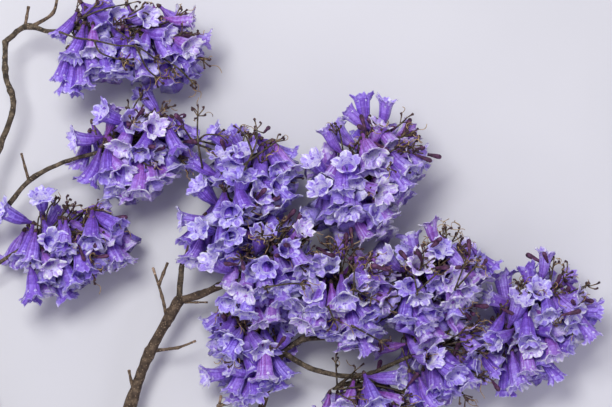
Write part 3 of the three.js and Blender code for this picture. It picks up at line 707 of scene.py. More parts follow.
# Between the main clusters the real panicles hold finer ones, on peduncles of their own. They
# grow by the same rule, nearer together and in rooms a little wider, and hang more by their weight.
FINER_CROWDING = 0.6
FINER_LENGTH = (9, 30)
FINER_PULL = 1.8
FINER_REACH = 1.09  # of the room's
FINER_ROUNDS = ((0.1, math.pi / 4), (0.85, math.pi / 3), (0.35, 0.9))  # first place, first turn
finer_clusters = {}
for name, panicle in PANICLES.items():
    centre, reach = panicle["room"]
    wider = dict(panicle, room=[centre, [FINER_REACH * r for r in reach]])
    apart = [grown for other, grown in grown_in.items() if other != name]
    neighbours = {
        "balls": np.vstack([grown["wholes"] for grown in apart]),
        "stalks": [stalk for grown in apart for stalk in grown["stalks"]],
    }
    finer_clusters[name] = []
    for offset, turned in FINER_ROUNDS:
        finer_clusters[name] += grow(
            wider, draws[name], nodes_on(panicle["pairs"], offset, turned), neighbours,
            grown_in[name], FINER_CROWDING, FINER_CROWDING, FINER_LENGTH, FINER_PULL,
        )


# The blooms. Each is a soft tube of thin tissue, narrow at its foot and swollen above, that opens
# into five ruffled lobes with a pale throat. It is held by its calyx.
TISSUE = 0.4
# How finely a bloom is drawn: its tube's rows (along it, out from its axis), the columns of one
# lobe, the shares of the lobe's length on its outside and back on its inside, and the throat's
# rows. Its zones are the tones of the bands between all those rows, and then of both poles. Down
# the throat the tones grow darker again towards its bottom pole: that is painted shade in the
# depth of the tube.
DETAIL = {
    "fine": {
        "profile": [
            [-0.6, 1.5], [3.5, 1.75], [8, 2.3], [11.5, 3.9], [15.5, 5.6], [20.5, 6.8], [25.5, 7.4],
            [30, 7.8], [33.5, 8.5],
        ],
        "columns": [-1, -0.78, -0.48, -0.16, 0.16, 0.48, 0.78, 1],
        "shares": [0.2, 0.42, 0.62, 0.8, 0.93, 1.0],
        "back": [0.96, 0.78, 0.52, 0.25],
        "throat": [[30, 7.2], [24, 6.4], [16, 4.6], [11.5, 2.6]],
        # the tones at the bottom of the throat are darker: painted shade in the tube
        "zones": [0, 0, 1, 1, 2, 2, 3, 3, 3, 4, 4, 4, 5, 6, 6, 6, 5, 5, 7, 8, 4, 2, 0, 1],
    },
    "middling": {
        "profile": [[-0.6, 1.5], [8, 2.4], [14, 5.2], [23, 7.3], [33.5, 8.5]],
        "columns": [-0.9, -0.4, 0.4, 0.9],
        "shares": [0.45, 0.85, 1.0],
        "back": [0.8, 0.35],
        "throat": [[27, 6.8], [15, 4.2]],
        # the tone at the bottom of the throat is darker: painted shade in the tube
        "zones": [0, 1, 2, 3, 4, 5, 6, 6, 5, 7, 8, 0, 2],
    },
    "plain": {
        "profile": [[-0.6, 1.6], [12.5, 4.6], [33.5, 8.5]],
        "columns": [-0.7, 0, 0.7],
        "shares": [1.0],
        "back": [],
        "throat": [[25, 6.4]],
        # the tone at the bottom of the throat is darker: painted shade in the tube
        "zones": [0, 2, 4, 5, 0, 2],
    },
}
LOBE_LENGTH = 10.5
LOBE_HALF_WIDTH = (5.3, 8.4, 7.6)  # at the mouth, halfway and at the end
LOBE_START = math.radians(18)
OPENING = (math.radians(48), math.radians(105))  # how far round a bloom's lobes turn at their ends
LOBE_TURN = (math.radians(-18), math.radians(42))  # how much less or more one lobe turns
LOBE_SIZE = (0.8, 1.1)
SQUARENESS, FULLNESS = 2.8, 0.55  # the two powers of a lobe's outline
SHORTEST = 0.42  # of a lobe's length, at its sides
FRILL_DEPTH, FRILL_RATE = 0.11, 8  # of a lobe's edge, which goes in and out
NOTCH_DEPTH, NOTCH_WIDTH = 0.08, 0.3  # at the middle of that edge
CURL = (-2.2, 2.4)
RUFFLE = (0.9, 2.2)
BROAD_RATE, FINE_RATE = 3.4, 8.4  # of the two ruffles across a lobe
FINE_RUFFLE = 0.8  # of the broad one
RUFFLE_GROWTH = 1.5  # the power of w by which they grow
TWIST = (-0.12, 0.12)
WIDEST = 0.64  # of a lobe, in radians either side of its middle
BELLY = (0.8, 2.6)
BELLY_END = 40  # along the bloom
PRESSED = (0.02, 0.22)
FLUTE_DEPTH = 0.06  # of the tube's radius, between two lobes
FLUTE_START, FLUTE_RUN = 12, 20  # along the bloom
TUBE_SHARE = 0.97  # of its fifth of the tube, that a lobe's columns span


def bloom_grids(blooms, seed, detail):
    """Rings of every bloom: up the outside of its tube, out along its lobes, back on their inner
    side and down the throat. A lobe is an arc that starts 18 degrees off the axis and turns at an
    even rate: along = (sin(f) - sin(f0)) / k and out = (cos(f0) - cos(f)) / k, with f = f0 + k w
    at the distance w along it. At the share x of its half width it is as long as
    (1 - |x|^2.8)^0.55, times a frill with a notch at the middle, and never less than 0.42.
    Ruffles lift it by waves along x that grow with w, and its sides curl with x squared."""
    random = np.random.default_rng(seed)
    profile, throat = np.array(detail["profile"]), np.array(detail["throat"])
    columns, shares, back = (np.array(detail[key]) for key in ("columns", "shares", "back"))
    count = len(blooms)
    foot, axis, hang = (np.array([b[key] for b in blooms]) for key in ("foot", "axis", "hang"))
    scale = np.array([b["scale"] for b in blooms])
    across, aside = square_to(axis, hang)
    x = np.tile(columns, LOBE_COUNT)
    lobe = np.repeat(np.arange(LOBE_COUNT), len(columns))
    middle = (2 * lobe + 1) * np.pi / LOBE_COUNT

    def per_lobe(low, high):
        """An even draw for each lobe, the same for all its columns."""
        return random.uniform(low, high, (count, LOBE_COUNT))[:, lobe][:, None]

    opened = random.uniform(*OPENING, (count, 1, 1))
    end_turn = opened + per_lobe(*LOBE_TURN)
    size = per_lobe(*LOBE_SIZE)
    phase, second = per_lobe(*ANY_TURN), per_lobe(*ANY_TURN)
    curl = per_lobe(*CURL)
    ruffle = per_lobe(*RUFFLE)
    twist = per_lobe(*TWIST)
    outline = np.maximum(1 - np.abs(x) ** SQUARENESS, 0.0) ** FULLNESS
    notch = NOTCH_DEPTH * np.exp(-((x / NOTCH_WIDTH) ** 2))
    frill = 1 + FRILL_DEPTH * np.sin(FRILL_RATE * x + second) - notch
    length = LOBE_LENGTH * size * np.maximum(outline * frill, SHORTEST)

    w = np.concatenate([shares, back])[None, :, None] * length
    rate = (end_turn - LOBE_START) / LOBE_LENGTH
    angle = LOBE_START + rate * w
    along = profile[-1, 0] + (np.sin(angle) - math.sin(LOBE_START)) / rate
    out = profile[-1, 1] + (math.cos(LOBE_START) - np.cos(angle)) / rate
    share = w / LOBE_LENGTH
    half = np.interp(share, [0, 0.5, 1], LOBE_HALF_WIDTH)
    turn = middle + np.clip(x * half / out, -WIDEST, WIDEST) + twist * share
    waves = np.sin(BROAD_RATE * x + phase) + FINE_RUFFLE * np.sin(FINE_RATE * x + second)
    lift = ruffle * share**RUFFLE_GROWTH * waves
    lift = lift + curl * share * x**2
    inner = np.concatenate([np.zeros(len(shares)), np.full(len(back), TISSUE)])[None, :, None]
    lift = lift + inner
    along = along + lift * np.sin(angle)
    out = out - lift * np.cos(angle)

    def straight(rows):
        """The rows of a profile, each the same all round every bloom."""
        return [np.broadcast_to(v[None, :, None], (count, len(v), len(x))) for v in rows.T]

    tube_along, tube_out = straight(profile)
    flute = 1 - FLUTE_DEPTH * np.cos(LOBE_COUNT * (middle + x * np.pi / LOBE_COUNT)) * np.clip(
        (tube_along - FLUTE_START) / FLUTE_RUN, 0, 1
    )
    throat_along, throat_out = straight(throat)
    whole_turn = np.broadcast_to(middle + x * TUBE_SHARE * np.pi / LOBE_COUNT, (count, 1, len(x)))
    along = np.concatenate([tube_along, along, throat_along], axis=1)
    out = np.concatenate([tube_out * flute, out, throat_out], axis=1)
    turn = np.concatenate(
        [np.repeat(whole_turn, len(profile), 1), turn, np.repeat(whole_turn, len(throat), 1)], axis=1
    )
    bow = np.sin(np.pi * np.clip(along / BELLY_END, 0, 1)) ** 2
    belly = random.uniform(*BELLY, (count, 1, 1)) * bow
    press = 1 - random.uniform(*PRESSED, (count, 1, 1))
    x_out = out * np.cos(turn) * press + belly
    y_out = out * np.sin(turn)
    place = (
        along[..., None] * axis[:, None, None]
        + x_out[..., None] * across[:, None, None]
        + y_out[..., None] * aside[:, None, None]
    )
    return foot[:, None, None] + place * scale[:, None, None, None]


# A bloom's colours run from the foot of its tube to the edge of its lobes, and then the inside.
# The last and palest tone of each tint lies on the lobes' ends and rims: partly their paler edge,
# and partly painted highlight.
TINTS = {
    "violet": [
        (0.105, 0.03, 0.26), (0.135, 0.048, 0.39), (0.17, 0.072, 0.5), (0.225, 0.115, 0.62),
        (0.31, 0.205, 0.76), (0.4, 0.315, 0.86), (0.6, 0.565, 0.94),
    ],
    "lavender": [
        (0.155, 0.05, 0.33), (0.185, 0.075, 0.46), (0.23, 0.115, 0.57), (0.31, 0.185, 0.7),
        (0.4, 0.3, 0.83), (0.52, 0.44, 0.91), (0.75, 0.73, 0.96),
    ],
    "lilac": [
        (0.22, 0.05, 0.31), (0.26, 0.078, 0.43), (0.31, 0.122, 0.55), (0.39, 0.21, 0.69),
        (0.48, 0.34, 0.81), (0.6, 0.5, 0.89), (0.8, 0.78, 0.95),
    ],
    "blue_violet": [
        (0.105, 0.038, 0.28), (0.14, 0.058, 0.41), (0.18, 0.09, 0.53), (0.24, 0.148, 0.66),
        (0.34, 0.26, 0.79), (0.44, 0.385, 0.88), (0.67, 0.65, 0.95),
    ],
}
THROAT_TONES = {"throat": (0.6, 0.53, 0.92), "deep_throat": (0.79, 0.76, 0.93)}
STREAK_SHARE = 0.33
# the palest tone is partly the lobes' paler edge and partly painted highlight
PALEST = 6  # the last tone of the petals, before those of the throat
TONES_IN_A_TINT = 9
DARK_CLOUDS = (0.72, 0.62, 0.88)  # what a petal's darker clouds keep of its red, green and blue
# Its paler clouds have its colour times the gain, plus the lift, and nothing over the limit.
CLOUD_GAIN, CLOUD_LIFT, CLOUD_LIMIT = 1.2, 0.02, 0.97
TINT_SHARE = 0.3  # of a throat's colour, from its tint's palest tone


def petal(name, colour):
    """Thin soft tissue: its colour with clouds of a paler and a darker one, some light let in,
    fine wrinkles in its surface and a velvety edge."""
    material, surface = shader(
        name, 0.46, Subsurface_Weight=0.12, Subsurface_Scale=0.002, Sheen_Weight=0.1,
        Sheen_Roughness=0.5,
    )
    surface.inputs["Subsurface Radius"].default_value = (1.1, 0.7, 1.3)
    dark = tuple(share * c for share, c in zip(DARK_CLOUDS, colour))
    pale = tuple(min(CLOUD_GAIN * c + CLOUD_LIFT, CLOUD_LIMIT) for c in colour)
    clouds = noise(material, 400, 6.0)
    colours_along(material, clouds, [(0.34, dark), (0.5, colour), (0.66, pale)], surface)
    raised(material, [(noise(material, 700, 5.0), 0.0005), (noise(material, 180, 2.0), 0.0006)], surface)
    return material


petals = []
for tint, tones in TINTS.items():
    petals += [petal(f"{tint}_petal_{k + 1}", tone) for k, tone in enumerate(tones)]
    for place, tone in THROAT_TONES.items():
        mixed = tuple((1 - TINT_SHARE) * c + TINT_SHARE * d for c, d in zip(tone, tones[-1]))
        petals.append(petal(f"{tint}_{place}", mixed))


def bloom_slots(count, seed, detail, weights):
    """Each bloom's tint, dealt out by the weights, and in it the tone of each row. Some columns of
    the tube, and some of the lobes, are a tone darker or paler: these are its streaks, veins on the
    tube, and on the lobes partly veins and partly painted highlight and shade of their crumples."""
    random = np.random.default_rng(seed)
    zones = np.array(detail["zones"])
    columns = LOBE_COUNT * len(detail["columns"])
    tint = random.choice(len(TINTS), (count, 1, 1), p=weights)
    odds = [STREAK_SHARE, 1 - 2 * STREAK_SHARE, STREAK_SHARE]
    on_tube = (np.arange(len(zones)) < len(detail["profile"]))[None, :, None]
    # on the lobes these darker and paler columns are partly painted highlight and painted shade
    streak = np.where(on_tube, *random.choice([-1, 0, 1], (2, count, 1, columns), p=odds))
    tone = np.clip(zones[None, :, None] + streak, 0, PALEST)
    return tint * TONES_IN_A_TINT + np.where(zones[None, :, None] > PALEST, zones[None, :, None], tone)


# The share of each tint in each panicle: palest at the upper right and in the one below it, and
# deepest in the centre. The lower panicle's paler share is partly painted light, which makes up
# for the shade of the stalks and blooms over it.
TINT_WEIGHTS = {
    "upper_left": [0.35, 0.25, 0.2, 0.2], "left": [0.25, 0.3, 0.3, 0.15],
    "centre": [0.6, 0.15, 0.05, 0.2], "upper_right": [0.1, 0.48, 0.3, 0.12],
    "middle": [0.3, 0.3, 0.2, 0.2], "lower": [0.03, 0.5, 0.4, 0.07],
    "right": [0.3, 0.3, 0.25, 0.15], "lower_right": [0.35, 0.25, 0.25, 0.15],
    "bottom": [0.4, 0.25, 0.2, 0.15], "inner": [0.4, 0.25, 0.15, 0.2],
    "far_right": [0.25, 0.35, 0.2, 0.2], "lower_left": [0.3, 0.3, 0.15, 0.25],
}
GAP = 0.3  # from a single bloom's foot to its calyx
FINE_BLOOMS, MIDDLING_BLOOMS = 195, 195  # those that show most, and the next
SINGLE_BONUS = 100.0  # it puts the single blooms before all others
BLOOM_SEED, SINGLE_SEED = 2000, 3000
SEEN_FROM = {(0, 0, 1): 3.0, (0, -1, 0): 0.5, (0, 1, 0): 0.5, (1, 0, 0): 0.5, (-1, 0, 0): 0.5}


def shown(balls, owners, count):
    """How much each bloom shows: how many of its balls have a middle that no other bloom's ball
    hides, as seen from each side in SEEN_FROM, times that side's weight."""
    score = np.zeros(count)
    for way, weight in SEEN_FROM.items():
        way = np.array(way, float)
        flat = balls[:, :3] - (balls[:, :3] @ way)[:, None] * way
        depth = balls[:, :3] @ way
        apart = np.linalg.norm(flat[:, None] - flat[None], axis=-1)
        hides = (apart < balls[None, :, 3]) & (depth[None] > depth[:, None])
        hides &= owners[None] != owners[:, None]
        score += weight * np.bincount(owners, ~hides.any(axis=1), count)
    return score


all_blooms = []
for name in PANICLES:
    main = [b for cluster in main_clusters[name] for b in cluster["blooms"]]
    main.sort(key=lambda b: -(b["foot"][2] + b["axis"][2] * BLOOM_LENGTH))
    finer = [b for cluster in finer_clusters[name] for b in cluster["blooms"]]
    for number, bloom in enumerate(main + finer):
        bloom["single"] = number + 1 if number < PANICLES[name]["foremost"] else 0
        bloom["panicle"] = name
    all_blooms += main + finer
bloom_balls = [
    np.vstack([
        girth_balls(b["foot"], b["axis"], b["scale"]),
        lobe_balls(b["foot"], b["axis"], b["hang"], b["scale"]),
    ])
    for b in all_blooms
]
bloom_owners = np.repeat(np.arange(len(all_blooms)), len(bloom_balls[0]))
bloom_balls = np.vstack(bloom_balls)
bloom_scores = shown(bloom_balls, bloom_owners, len(all_blooms))
bloom_scores += SINGLE_BONUS * np.array([b["single"] > 0 for b in all_blooms])
for place, number in enumerate(np.argsort(-bloom_scores, kind="stable")):
    level = (place >= FINE_BLOOMS) + (place >= FINE_BLOOMS + MIDDLING_BLOOMS)
    all_blooms[number]["detail"] = list(DETAIL)[level]

for number, (name, weights) in enumerate(TINT_WEIGHTS.items()):
    of_panicle = [b for b in all_blooms if b["panicle"] == name]
    groups = []
    for level, (grade, detail) in enumerate(DETAIL.items()):
        some = [b for b in of_panicle if b["detail"] == grade and not b["single"]]
        if some:
            seed = BLOOM_SEED + 10 * number + level
            groups.append((bloom_grids(some, seed, detail), bloom_slots(len(some), seed, detail, weights)))
    piece = make_piece(f"{name}_blooms", groups, petals)
    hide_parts(f"{name}_panicle")
    for bloom in (b for b in of_panicle if b["single"]):
        seed = SINGLE_SEED + 10 * number + bloom["single"]
        moved = dict(bloom, foot=bloom["foot"] + bloom["axis"] * GAP)
        piece = make_piece(
            f"{name}_flower_{bloom['single']}",
            [(bloom_grids([moved], seed, DETAIL["fine"]), bloom_slots(1, seed, DETAIL["fine"], weights))],
            petals,
        )
        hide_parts(f"{name}_bloom_{bloom['single']}")


# The stalks: the rachis of each panicle, its peduncles, and the pedicels that hold the blooms.
# They are thin, tough and green turning maroon, and thicken a little at each joint.
def tubes(centres, radii, sides):
    """Rings round many paths at once: centre + radius (cos(a) side + sin(a) up), with side square
    to the path and to the axis that the path leans away from most."""
    along = unit(np.gradient(centres, axis=1))
    mean = np.abs(centres[:, -1] - centres[:, 0])
    away = np.eye(3)[np.argmin(mean, axis=1)]
    side = unit(np.cross(away[:, None], along))
    up = np.cross(along, side)
    a = np.linspace(0, 2 * np.pi, sides, endpoint=False)[:, None]
    return centres[:, :, None] + radii[..., None, None] * (
        np.cos(a) * side[:, :, None] + np.sin(a) * up[:, :, None]
    )


def bowed(starts, ends, first_way, rings, seed, wander=0.05):
    """Paths that leave along first_way: start + h1 run + h2 slope, with h1 = 3t^2 - 2t^3,
    h2 = t (1 - t)^2, and the slope the run itself plus its length along first_way. A sine sways
    them to the side."""
    random = np.random.default_rng(seed)
    starts, ends, way = np.array(starts), np.array(ends), np.array(first_way)
    run = ends - starts
    size = np.linalg.norm(run, axis=1, keepdims=True)
    t = np.linspace(0, 1, rings)[None, :, None]
    sway = random.normal(0, wander, (len(run), 1, 3)) * size[:, None] * np.sin(np.pi * t)
    return (
        starts[:, None] + run[:, None] * (3 * t**2 - 2 * t**3)
        + (way * size)[:, None] * (t * (1 - t) ** 2) + run[:, None] * (t * (1 - t) ** 2) + sway
    )


def same_for_all(radii, paths):
    """The same radii, ring by ring, for each of the paths."""
    return np.broadcast_to(radii, (len(paths), len(radii)))


def stalk_finish(name, dark, mid, pale):
    """A thin smooth skin in three tones."""
    material, surface = shader(name, 0.66)
    colours_along(material, noise(material, 260, 3.0), [(0.35, dark), (0.5, mid), (0.68, pale)], surface)
    raised(material, [(noise(material, 1100, 3.0), 0.0003)], surface)
    return material


rachis_finish = stalk_finish(
    "maroon_green_stalk", (0.022, 0.015, 0.01), (0.06, 0.042, 0.024), (0.15, 0.12, 0.055)
)
pedicel_finish = stalk_finish("olive_pedicel", (0.06, 0.035, 0.02), (0.15, 0.1, 0.045), (0.25, 0.19, 0.09))
RACHIS_RINGS, PEDUNCLE_RINGS, PEDICEL_RINGS = 24, 9, 6
RACHIS_SIDES, PEDUNCLE_SIDES, PEDICEL_SIDES = 8, 6, 5
RACHIS_TAPER = np.linspace(2.0, 1.1, RACHIS_RINGS)
KNOT_RISE, KNOT_TURN = 0.06, 2.3  # a rachis is knotty by a sine from ring to ring
# The radii of a peduncle, with a bulge at its fork, and of a pedicel, thicker towards its calyx.
PEDUNCLE_SWELL = 0.85 + 0.3 * np.exp(-((np.linspace(0, 1, PEDUNCLE_RINGS) - 1) / 0.16) ** 2)
PEDICEL_SWELL = 0.55 + 0.25 * np.linspace(0, 1, PEDICEL_RINGS) ** 3
PEDICEL_WANDER = 0.07
PEDUNCLE_SEED, PEDICEL_SEED = 4000, 4100
for number, name in enumerate(PANICLES):
    clusters = main_clusters[name] + finer_clusters[name]
    blooms = [b for c in clusters for b in c["blooms"]]
    path = rachis_point(PANICLES[name]["rachis"], np.linspace(0, 1, RACHIS_RINGS)[:, None])[None]
    knots = 1 + KNOT_RISE * np.sin(np.arange(RACHIS_RINGS) * KNOT_TURN + number)
    peduncles = bowed(
        *([c[key] for c in clusters] for key in ("start", "fork", "way")),
        PEDUNCLE_RINGS, PEDUNCLE_SEED + number,
    )
    pedicels = bowed(
        *([b[key] for b in blooms] for key in ("root", "foot", "stem")),
        PEDICEL_RINGS, PEDICEL_SEED + number, PEDICEL_WANDER,
    )
    piece = make_piece(
        f"{name}_stalks",
        [
            (tubes(path, (RACHIS_TAPER * knots)[None], RACHIS_SIDES), 0),
            (tubes(peduncles, same_for_all(PEDUNCLE_SWELL, peduncles), PEDUNCLE_SIDES), 0),
            (tubes(pedicels, same_for_all(PEDICEL_SWELL, pedicels), PEDICEL_SIDES), 1),
        ],
        [rachis_finish, pedicel_finish],
    )


# The calyces: small dull maroon cups of five teeth, which hold the foot of each bloom where its
# pedicel ends. Each is a short profile turned round the bloom's own axis.
CUP = np.array([[-1.6, 0.6], [-0.6, 1.5], [1.2, 2.15], [2.9, 2.35], [2.6, 1.6]])  # along, out
CUP_TEETH = np.array([0, 0, 0, 0.7, 0])  # how far each ring's corners go up and down by turns
CALYX_SIDES = 10
STEEP = 0.9
cup_finish = stalk_finish("maroon_calyx", (0.022, 0.009, 0.012), (0.062, 0.026, 0.03), (0.13, 0.075, 0.055))


def lathed(profile, feet, ways, sizes, sides, teeth=0.0, bend=0.0):
    """Rings of small turned shapes, from the rows of a profile: foot + size ((along + teeth) way
    + (out cos(a) + bend) across + out sin(a) aside), the teeth up and down by turns."""
    across, aside = square_to(ways, np.where(np.abs(ways[:, 2:]) < STEEP, UPWARD, [1.0, 0, 0]))
    a = np.linspace(0, 2 * np.pi, sides, endpoint=False)
    along, out, teeth, bend = (
        np.broadcast_to(rows, len(profile))[None, :, None] for rows in (*profile.T, teeth, bend)
    )
    along = along + teeth * np.cos(np.arange(sides) * np.pi)
    place = (
        along[..., None] * ways[:, None, None]
        + (out * np.cos(a) + bend)[..., None] * across[:, None, None]
        + (out * np.sin(a))[..., None] * aside[:, None, None]
    )
    return feet[:, None, None] + place * sizes[:, None, None, None]


for name in PANICLES:
    blooms = [b for b in all_blooms if b["panicle"] == name]
    feet, ways = np.array([b["foot"] for b in blooms]), np.array([b["axis"] for b in blooms])
    cups = lathed(CUP, feet, ways, np.ones(len(feet)), CALYX_SIDES, CUP_TEETH)
    piece = make_piece(f"{name}_calyces", [(cups, 0)], [cup_finish])


# The spent peduncles. Where blooms have dropped, a bare forked stalk stands out of the panicle,
# with an empty cup on each prong, or a club-shaped bud that hasn't opened. From some cups the
# dried style still hangs, straw-coloured and curled.
SPENT_COUNT = 18  # on each panicle
SPENT_PLACES = (0.15, 1)  # along its rachis
SPENT_LENGTH = (34, 66)
SPENT_LEAN = (0.15, 1.2)
SPENT_TURN = (-1.7, 1.7)  # round it, from straight up
PRONGS = (3, 7)  # on a stalk: from the first number to one less than the second
PRONG_LENGTH = (6, 12)
PRONG_OPEN = (0.3, 0.95)
PRONG_SWING = 0.4
PRONG_STRETCH = 9  # from the tip of a stalk down to its lowest prong, at most
BUD_SHARE = 0.09
STYLE_SHARE = 0.42
BUD = np.array([[-0.5, 0.9], [2, 1.5], [6, 1.6], [10, 2.1], [14, 2.6], [17, 2.4], [18.6, 1.3]])
BUD_BOW, BUD_LENGTH = 1.3, 19
BUD_BEND = BUD_BOW * np.sin(np.pi * BUD[:, 0] / BUD_LENGTH)
STYLE_RINGS, STYLE_SIDES, STYLE_RADIUS = 16, 4, 0.36
STYLE_LENGTH, STYLE_CURL, STYLE_RATE = (9, 20), (1.0, 2.6), (0.2, 0.5)
STYLE_REACH, STYLE_DROOP = 0.75, 0.012


def style_paths(feet, ways, seed):
    """Curled threads: foot + 0.75 s way + c (cos(b s) - 1) across + c sin(b s) aside, pulled down
    the branch with s squared."""
    random = np.random.default_rng(seed)
    across, aside = square_to(ways, random.normal(0, 1, ways.shape))
    one_each = (len(feet), 1, 1)
    s = np.linspace(0, 1, STYLE_RINGS)[None, :, None] * random.uniform(*STYLE_LENGTH, one_each)
    curl = random.uniform(*STYLE_CURL, one_each)
    rate = random.uniform(*STYLE_RATE, one_each) * random.choice([-1, 1], one_each)
    return (
        feet[:, None] + s * STYLE_REACH * ways[:, None]
        + curl * (np.cos(rate * s) - 1) * across[:, None] + curl * np.sin(rate * s) * aside[:, None]
        + STYLE_DROOP * s**2 * unit(DOWN_THE_BRANCH)
    )


def prongs_on(tip, way, hint, random):
    """The prongs of one stalk, swung evenly round it near its tip: their roots, ends and ways."""
    prongs = []
    count = random.integers(*PRONGS)
    for k in range(count):
        swing = 2 * np.pi * k / count + random.uniform(-PRONG_SWING, PRONG_SWING)
        stem = leaning(way, random.uniform(*PRONG_OPEN), swing, hint)
        root = tip - way * random.uniform(0, PRONG_STRETCH)
        prongs.append((root, root + stem * random.uniform(*PRONG_LENGTH), stem))
    return prongs


# The spent stalks that lie in front of the blooms in the photo, each with the places that it
# passes, seen from above. It comes from its panicle's rachis and lies on the blooms below it.
FRONT_STALKS = {
    "upper_left": [
        [[63, 373], [79, 367], [98, 364], [121, 358], [142, 356], [160, 344]],
        [[98, 363], [105, 351], [127, 343]], [[142, 354], [150, 336], [160, 327]],
        [[160, 350], [180, 337], [194, 323]], [[84, 388], [107, 394], [131, 404]], [[86, 390], [99, 402]],
    ],
    "centre": [
        [[203, 240], [199, 269], [198, 295]], [[200, 266], [208, 271], [222, 271]],
        [[199, 262], [192, 267], [184, 280]], [[247, 238], [257, 262], [257, 279]],
        [[253, 255], [248, 268], [240, 277]], [[248, 243], [272, 261], [280, 267]],
    ],
    "middle": [[[268, 123], [290, 126], [306, 125]]],
    "lower": [
        [[352, 118], [353, 142]], [[354, 120], [371, 110]], [[328, 103], [334, 87]],
        [[352, 84], [382, 66]],
    ],
    "right": [
        [[414, 117], [410, 141]], [[416, 120], [436, 138]], [[452, 122], [462, 148]],
        [[455, 124], [474, 144]],
    ],
    "bottom": [
        [[337, 21], [336, 44]], [[338, 21], [355, 35]], [[336, 19], [360, 22], [380, 24]],
        [[340, 16], [353, 9]],
    ],
}
FRONT_RINGS = 24
RACHIS_STEPS = 12
FRONT_GAP = 2.5  # above the blooms
FRONT_RISE = 18.0  # of a stalk where it comes out from between the blooms
BLOOM_NEAR = 7.0  # a bloom's ball this near to a place bears what lies there


def front_stalks(name, seed):
    """The paths of one panicle's stalks that lie in front of its blooms, and their prongs."""
    random = np.random.default_rng(seed)
    rachis = rachis_point(PANICLES[name]["rachis"], np.linspace(0, 1, RACHIS_STEPS)[:, None])
    paths, prongs = [], []
    for places in FRONT_STALKS.get(name, []):
        points = []
        for x, y in places:
            near = np.hypot(*(bloom_balls[:, :2] - [x, y]).T) < BLOOM_NEAR
            top = (bloom_balls[near, 2] + bloom_balls[near, 3]).max(initial=rachis[0, 2])
            points.append([x, y, top + FRONT_GAP])
        nearest = rachis[np.argmin(np.linalg.norm(rachis - points[0], axis=1))]
        sunk = [*points[0][:2], max(points[0][2] - FRONT_RISE, nearest[2])]
        path = through([nearest.tolist(), sunk, *points], np.linspace(0, 1, FRONT_RINGS))
        paths.append(path)
        prongs += prongs_on(path[-1], unit(path[-1] - path[-2]), UPWARD, random)
    return paths, prongs


def spent_stalks(name, seed):
    """The forks of one panicle's spent peduncles and their prongs, kept in the panicle's room and
    clear of the limbs."""
    random = np.random.default_rng(seed)
    rachis = PANICLES[name]["rachis"]
    centre, reach = np.array(PANICLES[name]["room"], float)
    stalks, prongs = [], []
    while len(stalks) < SPENT_COUNT:
        t = random.uniform(*SPENT_PLACES)
        start, along = rachis_point(rachis, t), rachis_way(rachis, t)
        way = leaning(along, random.uniform(*SPENT_LEAN), random.uniform(*SPENT_TURN), UPWARD)
        fork = start + way * random.uniform(*SPENT_LENGTH)
        if np.linalg.norm((fork - centre) / reach) > 1 or touches_limb(stalk_balls(start, fork)):
            continue
        stalks.append((start, fork, way))
        prongs += prongs_on(fork, way, along, random)
    return stalks, prongs


bud_finish = stalk_finish("maroon_bud", (0.03, 0.008, 0.025), (0.075, 0.018, 0.06), (0.15, 0.05, 0.13))
style_finish = stalk_finish("straw_style", (0.22, 0.13, 0.05), (0.42, 0.28, 0.12), (0.62, 0.46, 0.25))
SPENT_TAPER = np.linspace(0.95, 0.7, PEDUNCLE_RINGS)
FRONT_TAPER = np.linspace(1.25, 0.8, FRONT_RINGS)
CLUB = np.array([0.6, 0.6, 0.75, 0.95, 1.05])  # a prong's radii, thicker and darker towards its cup
CLUB_SLOTS = 1 + (np.arange(len(CLUB) + 1) >= 2)[None, :, None]
SPENT_WANDER, PRONG_WANDER = 0.06, 0.05
CUP_SHARE = 0.62  # of a calyx's size
END_SIZE = (0.8, 1.05)
END_SIDES = 8
KIND_SEED, SPENT_SEED, PATH_SEED, PRONG_SEED, STYLE_SEED, FRONT_SEED = 5000, 5100, 5200, 5300, 5400, 5500
for number, name in enumerate(PANICLES):
    random = np.random.default_rng(KIND_SEED + number)
    stalks, prongs = spent_stalks(name, SPENT_SEED + number)
    front_paths, front_prongs = front_stalks(name, FRONT_SEED + number)
    paths = bowed(*zip(*stalks), PEDUNCLE_RINGS, PATH_SEED + number, SPENT_WANDER)
    prong_paths = bowed(*zip(*prongs + front_prongs), len(CLUB), PRONG_SEED + number, PRONG_WANDER)
    ends = prong_paths[:, -1]
    ways = unit(prong_paths[:, -1] - prong_paths[:, -2])
    sizes = random.uniform(*END_SIZE, len(ends))
    is_bud = random.random(len(ends)) < BUD_SHARE
    has_style = ~is_bud & (random.random(len(ends)) < STYLE_SHARE)
    groups = [
        (tubes(paths, same_for_all(SPENT_TAPER, paths), PEDUNCLE_SIDES), 0),
        (tubes(prong_paths, same_for_all(CLUB, prong_paths), PEDICEL_SIDES), CLUB_SLOTS),
    ]
    if front_paths:
        front = tubes(np.array(front_paths), same_for_all(FRONT_TAPER, front_paths), PEDUNCLE_SIDES)
        groups.append((front, 0))
    piece = make_piece(f"{name}_spent_stalks", groups, [rachis_finish, pedicel_finish, cup_finish])
    cups = lathed(
        CUP, ends[~is_bud], ways[~is_bud], CUP_SHARE * sizes[~is_bud], END_SIDES, CUP_TEETH
    )
    buds = lathed(BUD, ends[is_bud], ways[is_bud], sizes[is_bud], END_SIDES, bend=BUD_BEND)
    piece = make_piece(f"{name}_cups_and_buds", [(cups, 0), (buds, 1)], [cup_finish, bud_finish])
    threads = style_paths(ends[has_style], ways[has_style], STYLE_SEED + number)
    threads = tubes(threads, np.full(threads.shape[:2], STYLE_RADIUS), STYLE_SIDES)
    piece = make_piece(f"{name}_dried_styles", [(threads, 0)], [style_finish])


# The floor, the light and the view. The branch lies on a wide pale floor, and the view looks
# straight down on it, as the photo looks at it squarely from the side.
VIEW = (612.0, 407.0)  # how much of the branch the picture holds, in millimetres
VIEW_HEIGHT = 60.0  # above the floor, where the picture holds just that much
LENS, SENSOR = 135.0, 36.0


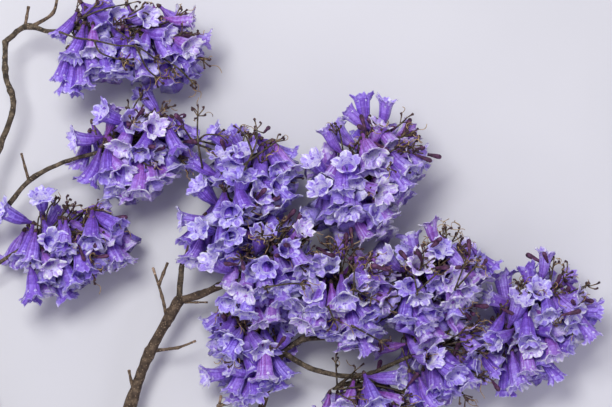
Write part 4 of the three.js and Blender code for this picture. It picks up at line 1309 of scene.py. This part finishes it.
def floor(size):
    """A flat pale floor with a faint unevenness of tone."""
    mesh = bpy.data.meshes.new("floor")
    corners = [(-size, -size, 0), (size, -size, 0), (size, size, 0), (-size, size, 0)]
    mesh.from_pydata(corners, [], [(0, 1, 2, 3)])
    material, surface = shader("pale_floor", 0.8)
    stops = [(0.3, (0.65, 0.66, 0.675)), (0.7, (0.69, 0.7, 0.715))]
    colours_along(material, noise(material, 4, 3.0), stops, surface)
    mesh.materials.append(material)
    made = bpy.data.objects.new("floor", mesh)
    bpy.context.scene.collection.objects.link(made)
    made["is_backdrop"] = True


def lamp(name, where, towards, size, power, colour):
    """A soft square lamp at where, turned to face towards."""
    data = bpy.data.lights.new(name, "AREA")
    data.shape = "SQUARE"
    data.size, data.energy, data.color = size, power, colour
    made = bpy.data.objects.new(name, data)
    made.location = where
    way = np.array(towards, float) - np.array(where, float)
    yaw, pitch = math.atan2(way[0], -way[1]), math.acos(-way[2] / np.linalg.norm(way))
    made.rotation_euler = (pitch, 0, yaw)
    bpy.context.scene.collection.objects.link(made)


FLOOR_REACH = 6.0
WORLD_COLOUR, WORLD_STRENGTH = (0.85, 0.81, 1.0, 1), 0.48
floor(FLOOR_REACH)
view_centre = view_corner + np.array([VIEW[0] / 2, VIEW[1] / 2, VIEW_HEIGHT]) * MM
lamp(
    "key_light", view_centre + [-0.7, 1.05, 2.9], view_centre, size=1.3, power=105,
    colour=(1.0, 0.99, 0.975),
)
lamp(
    "fill_light", view_centre + [1.0, -0.9, 1.5], view_centre, size=1.6, power=13,
    colour=(0.93, 0.91, 1.0),
)
world = bpy.data.worlds.new("soft_studio")
world.use_nodes = True
world.node_tree.nodes["Background"].inputs["Color"].default_value = WORLD_COLOUR
world.node_tree.nodes["Background"].inputs["Strength"].default_value = WORLD_STRENGTH
bpy.context.scene.world = world
bpy.context.scene.view_settings.view_transform = "Standard"

camera_data = bpy.data.cameras.new("view")
camera_data.lens, camera_data.sensor_width = LENS, SENSOR
camera = bpy.data.objects.new("view", camera_data)
camera.location = view_centre + [0, 0, VIEW[0] * MM / SENSOR * LENS]
bpy.context.scene.collection.objects.link(camera)
bpy.context.scene.camera = camera

dressed_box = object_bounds()
sizes = {
    "cad": [list(corner) for corner in solids_box],
    "visual": [list(corner) for corner in dressed_box],
}
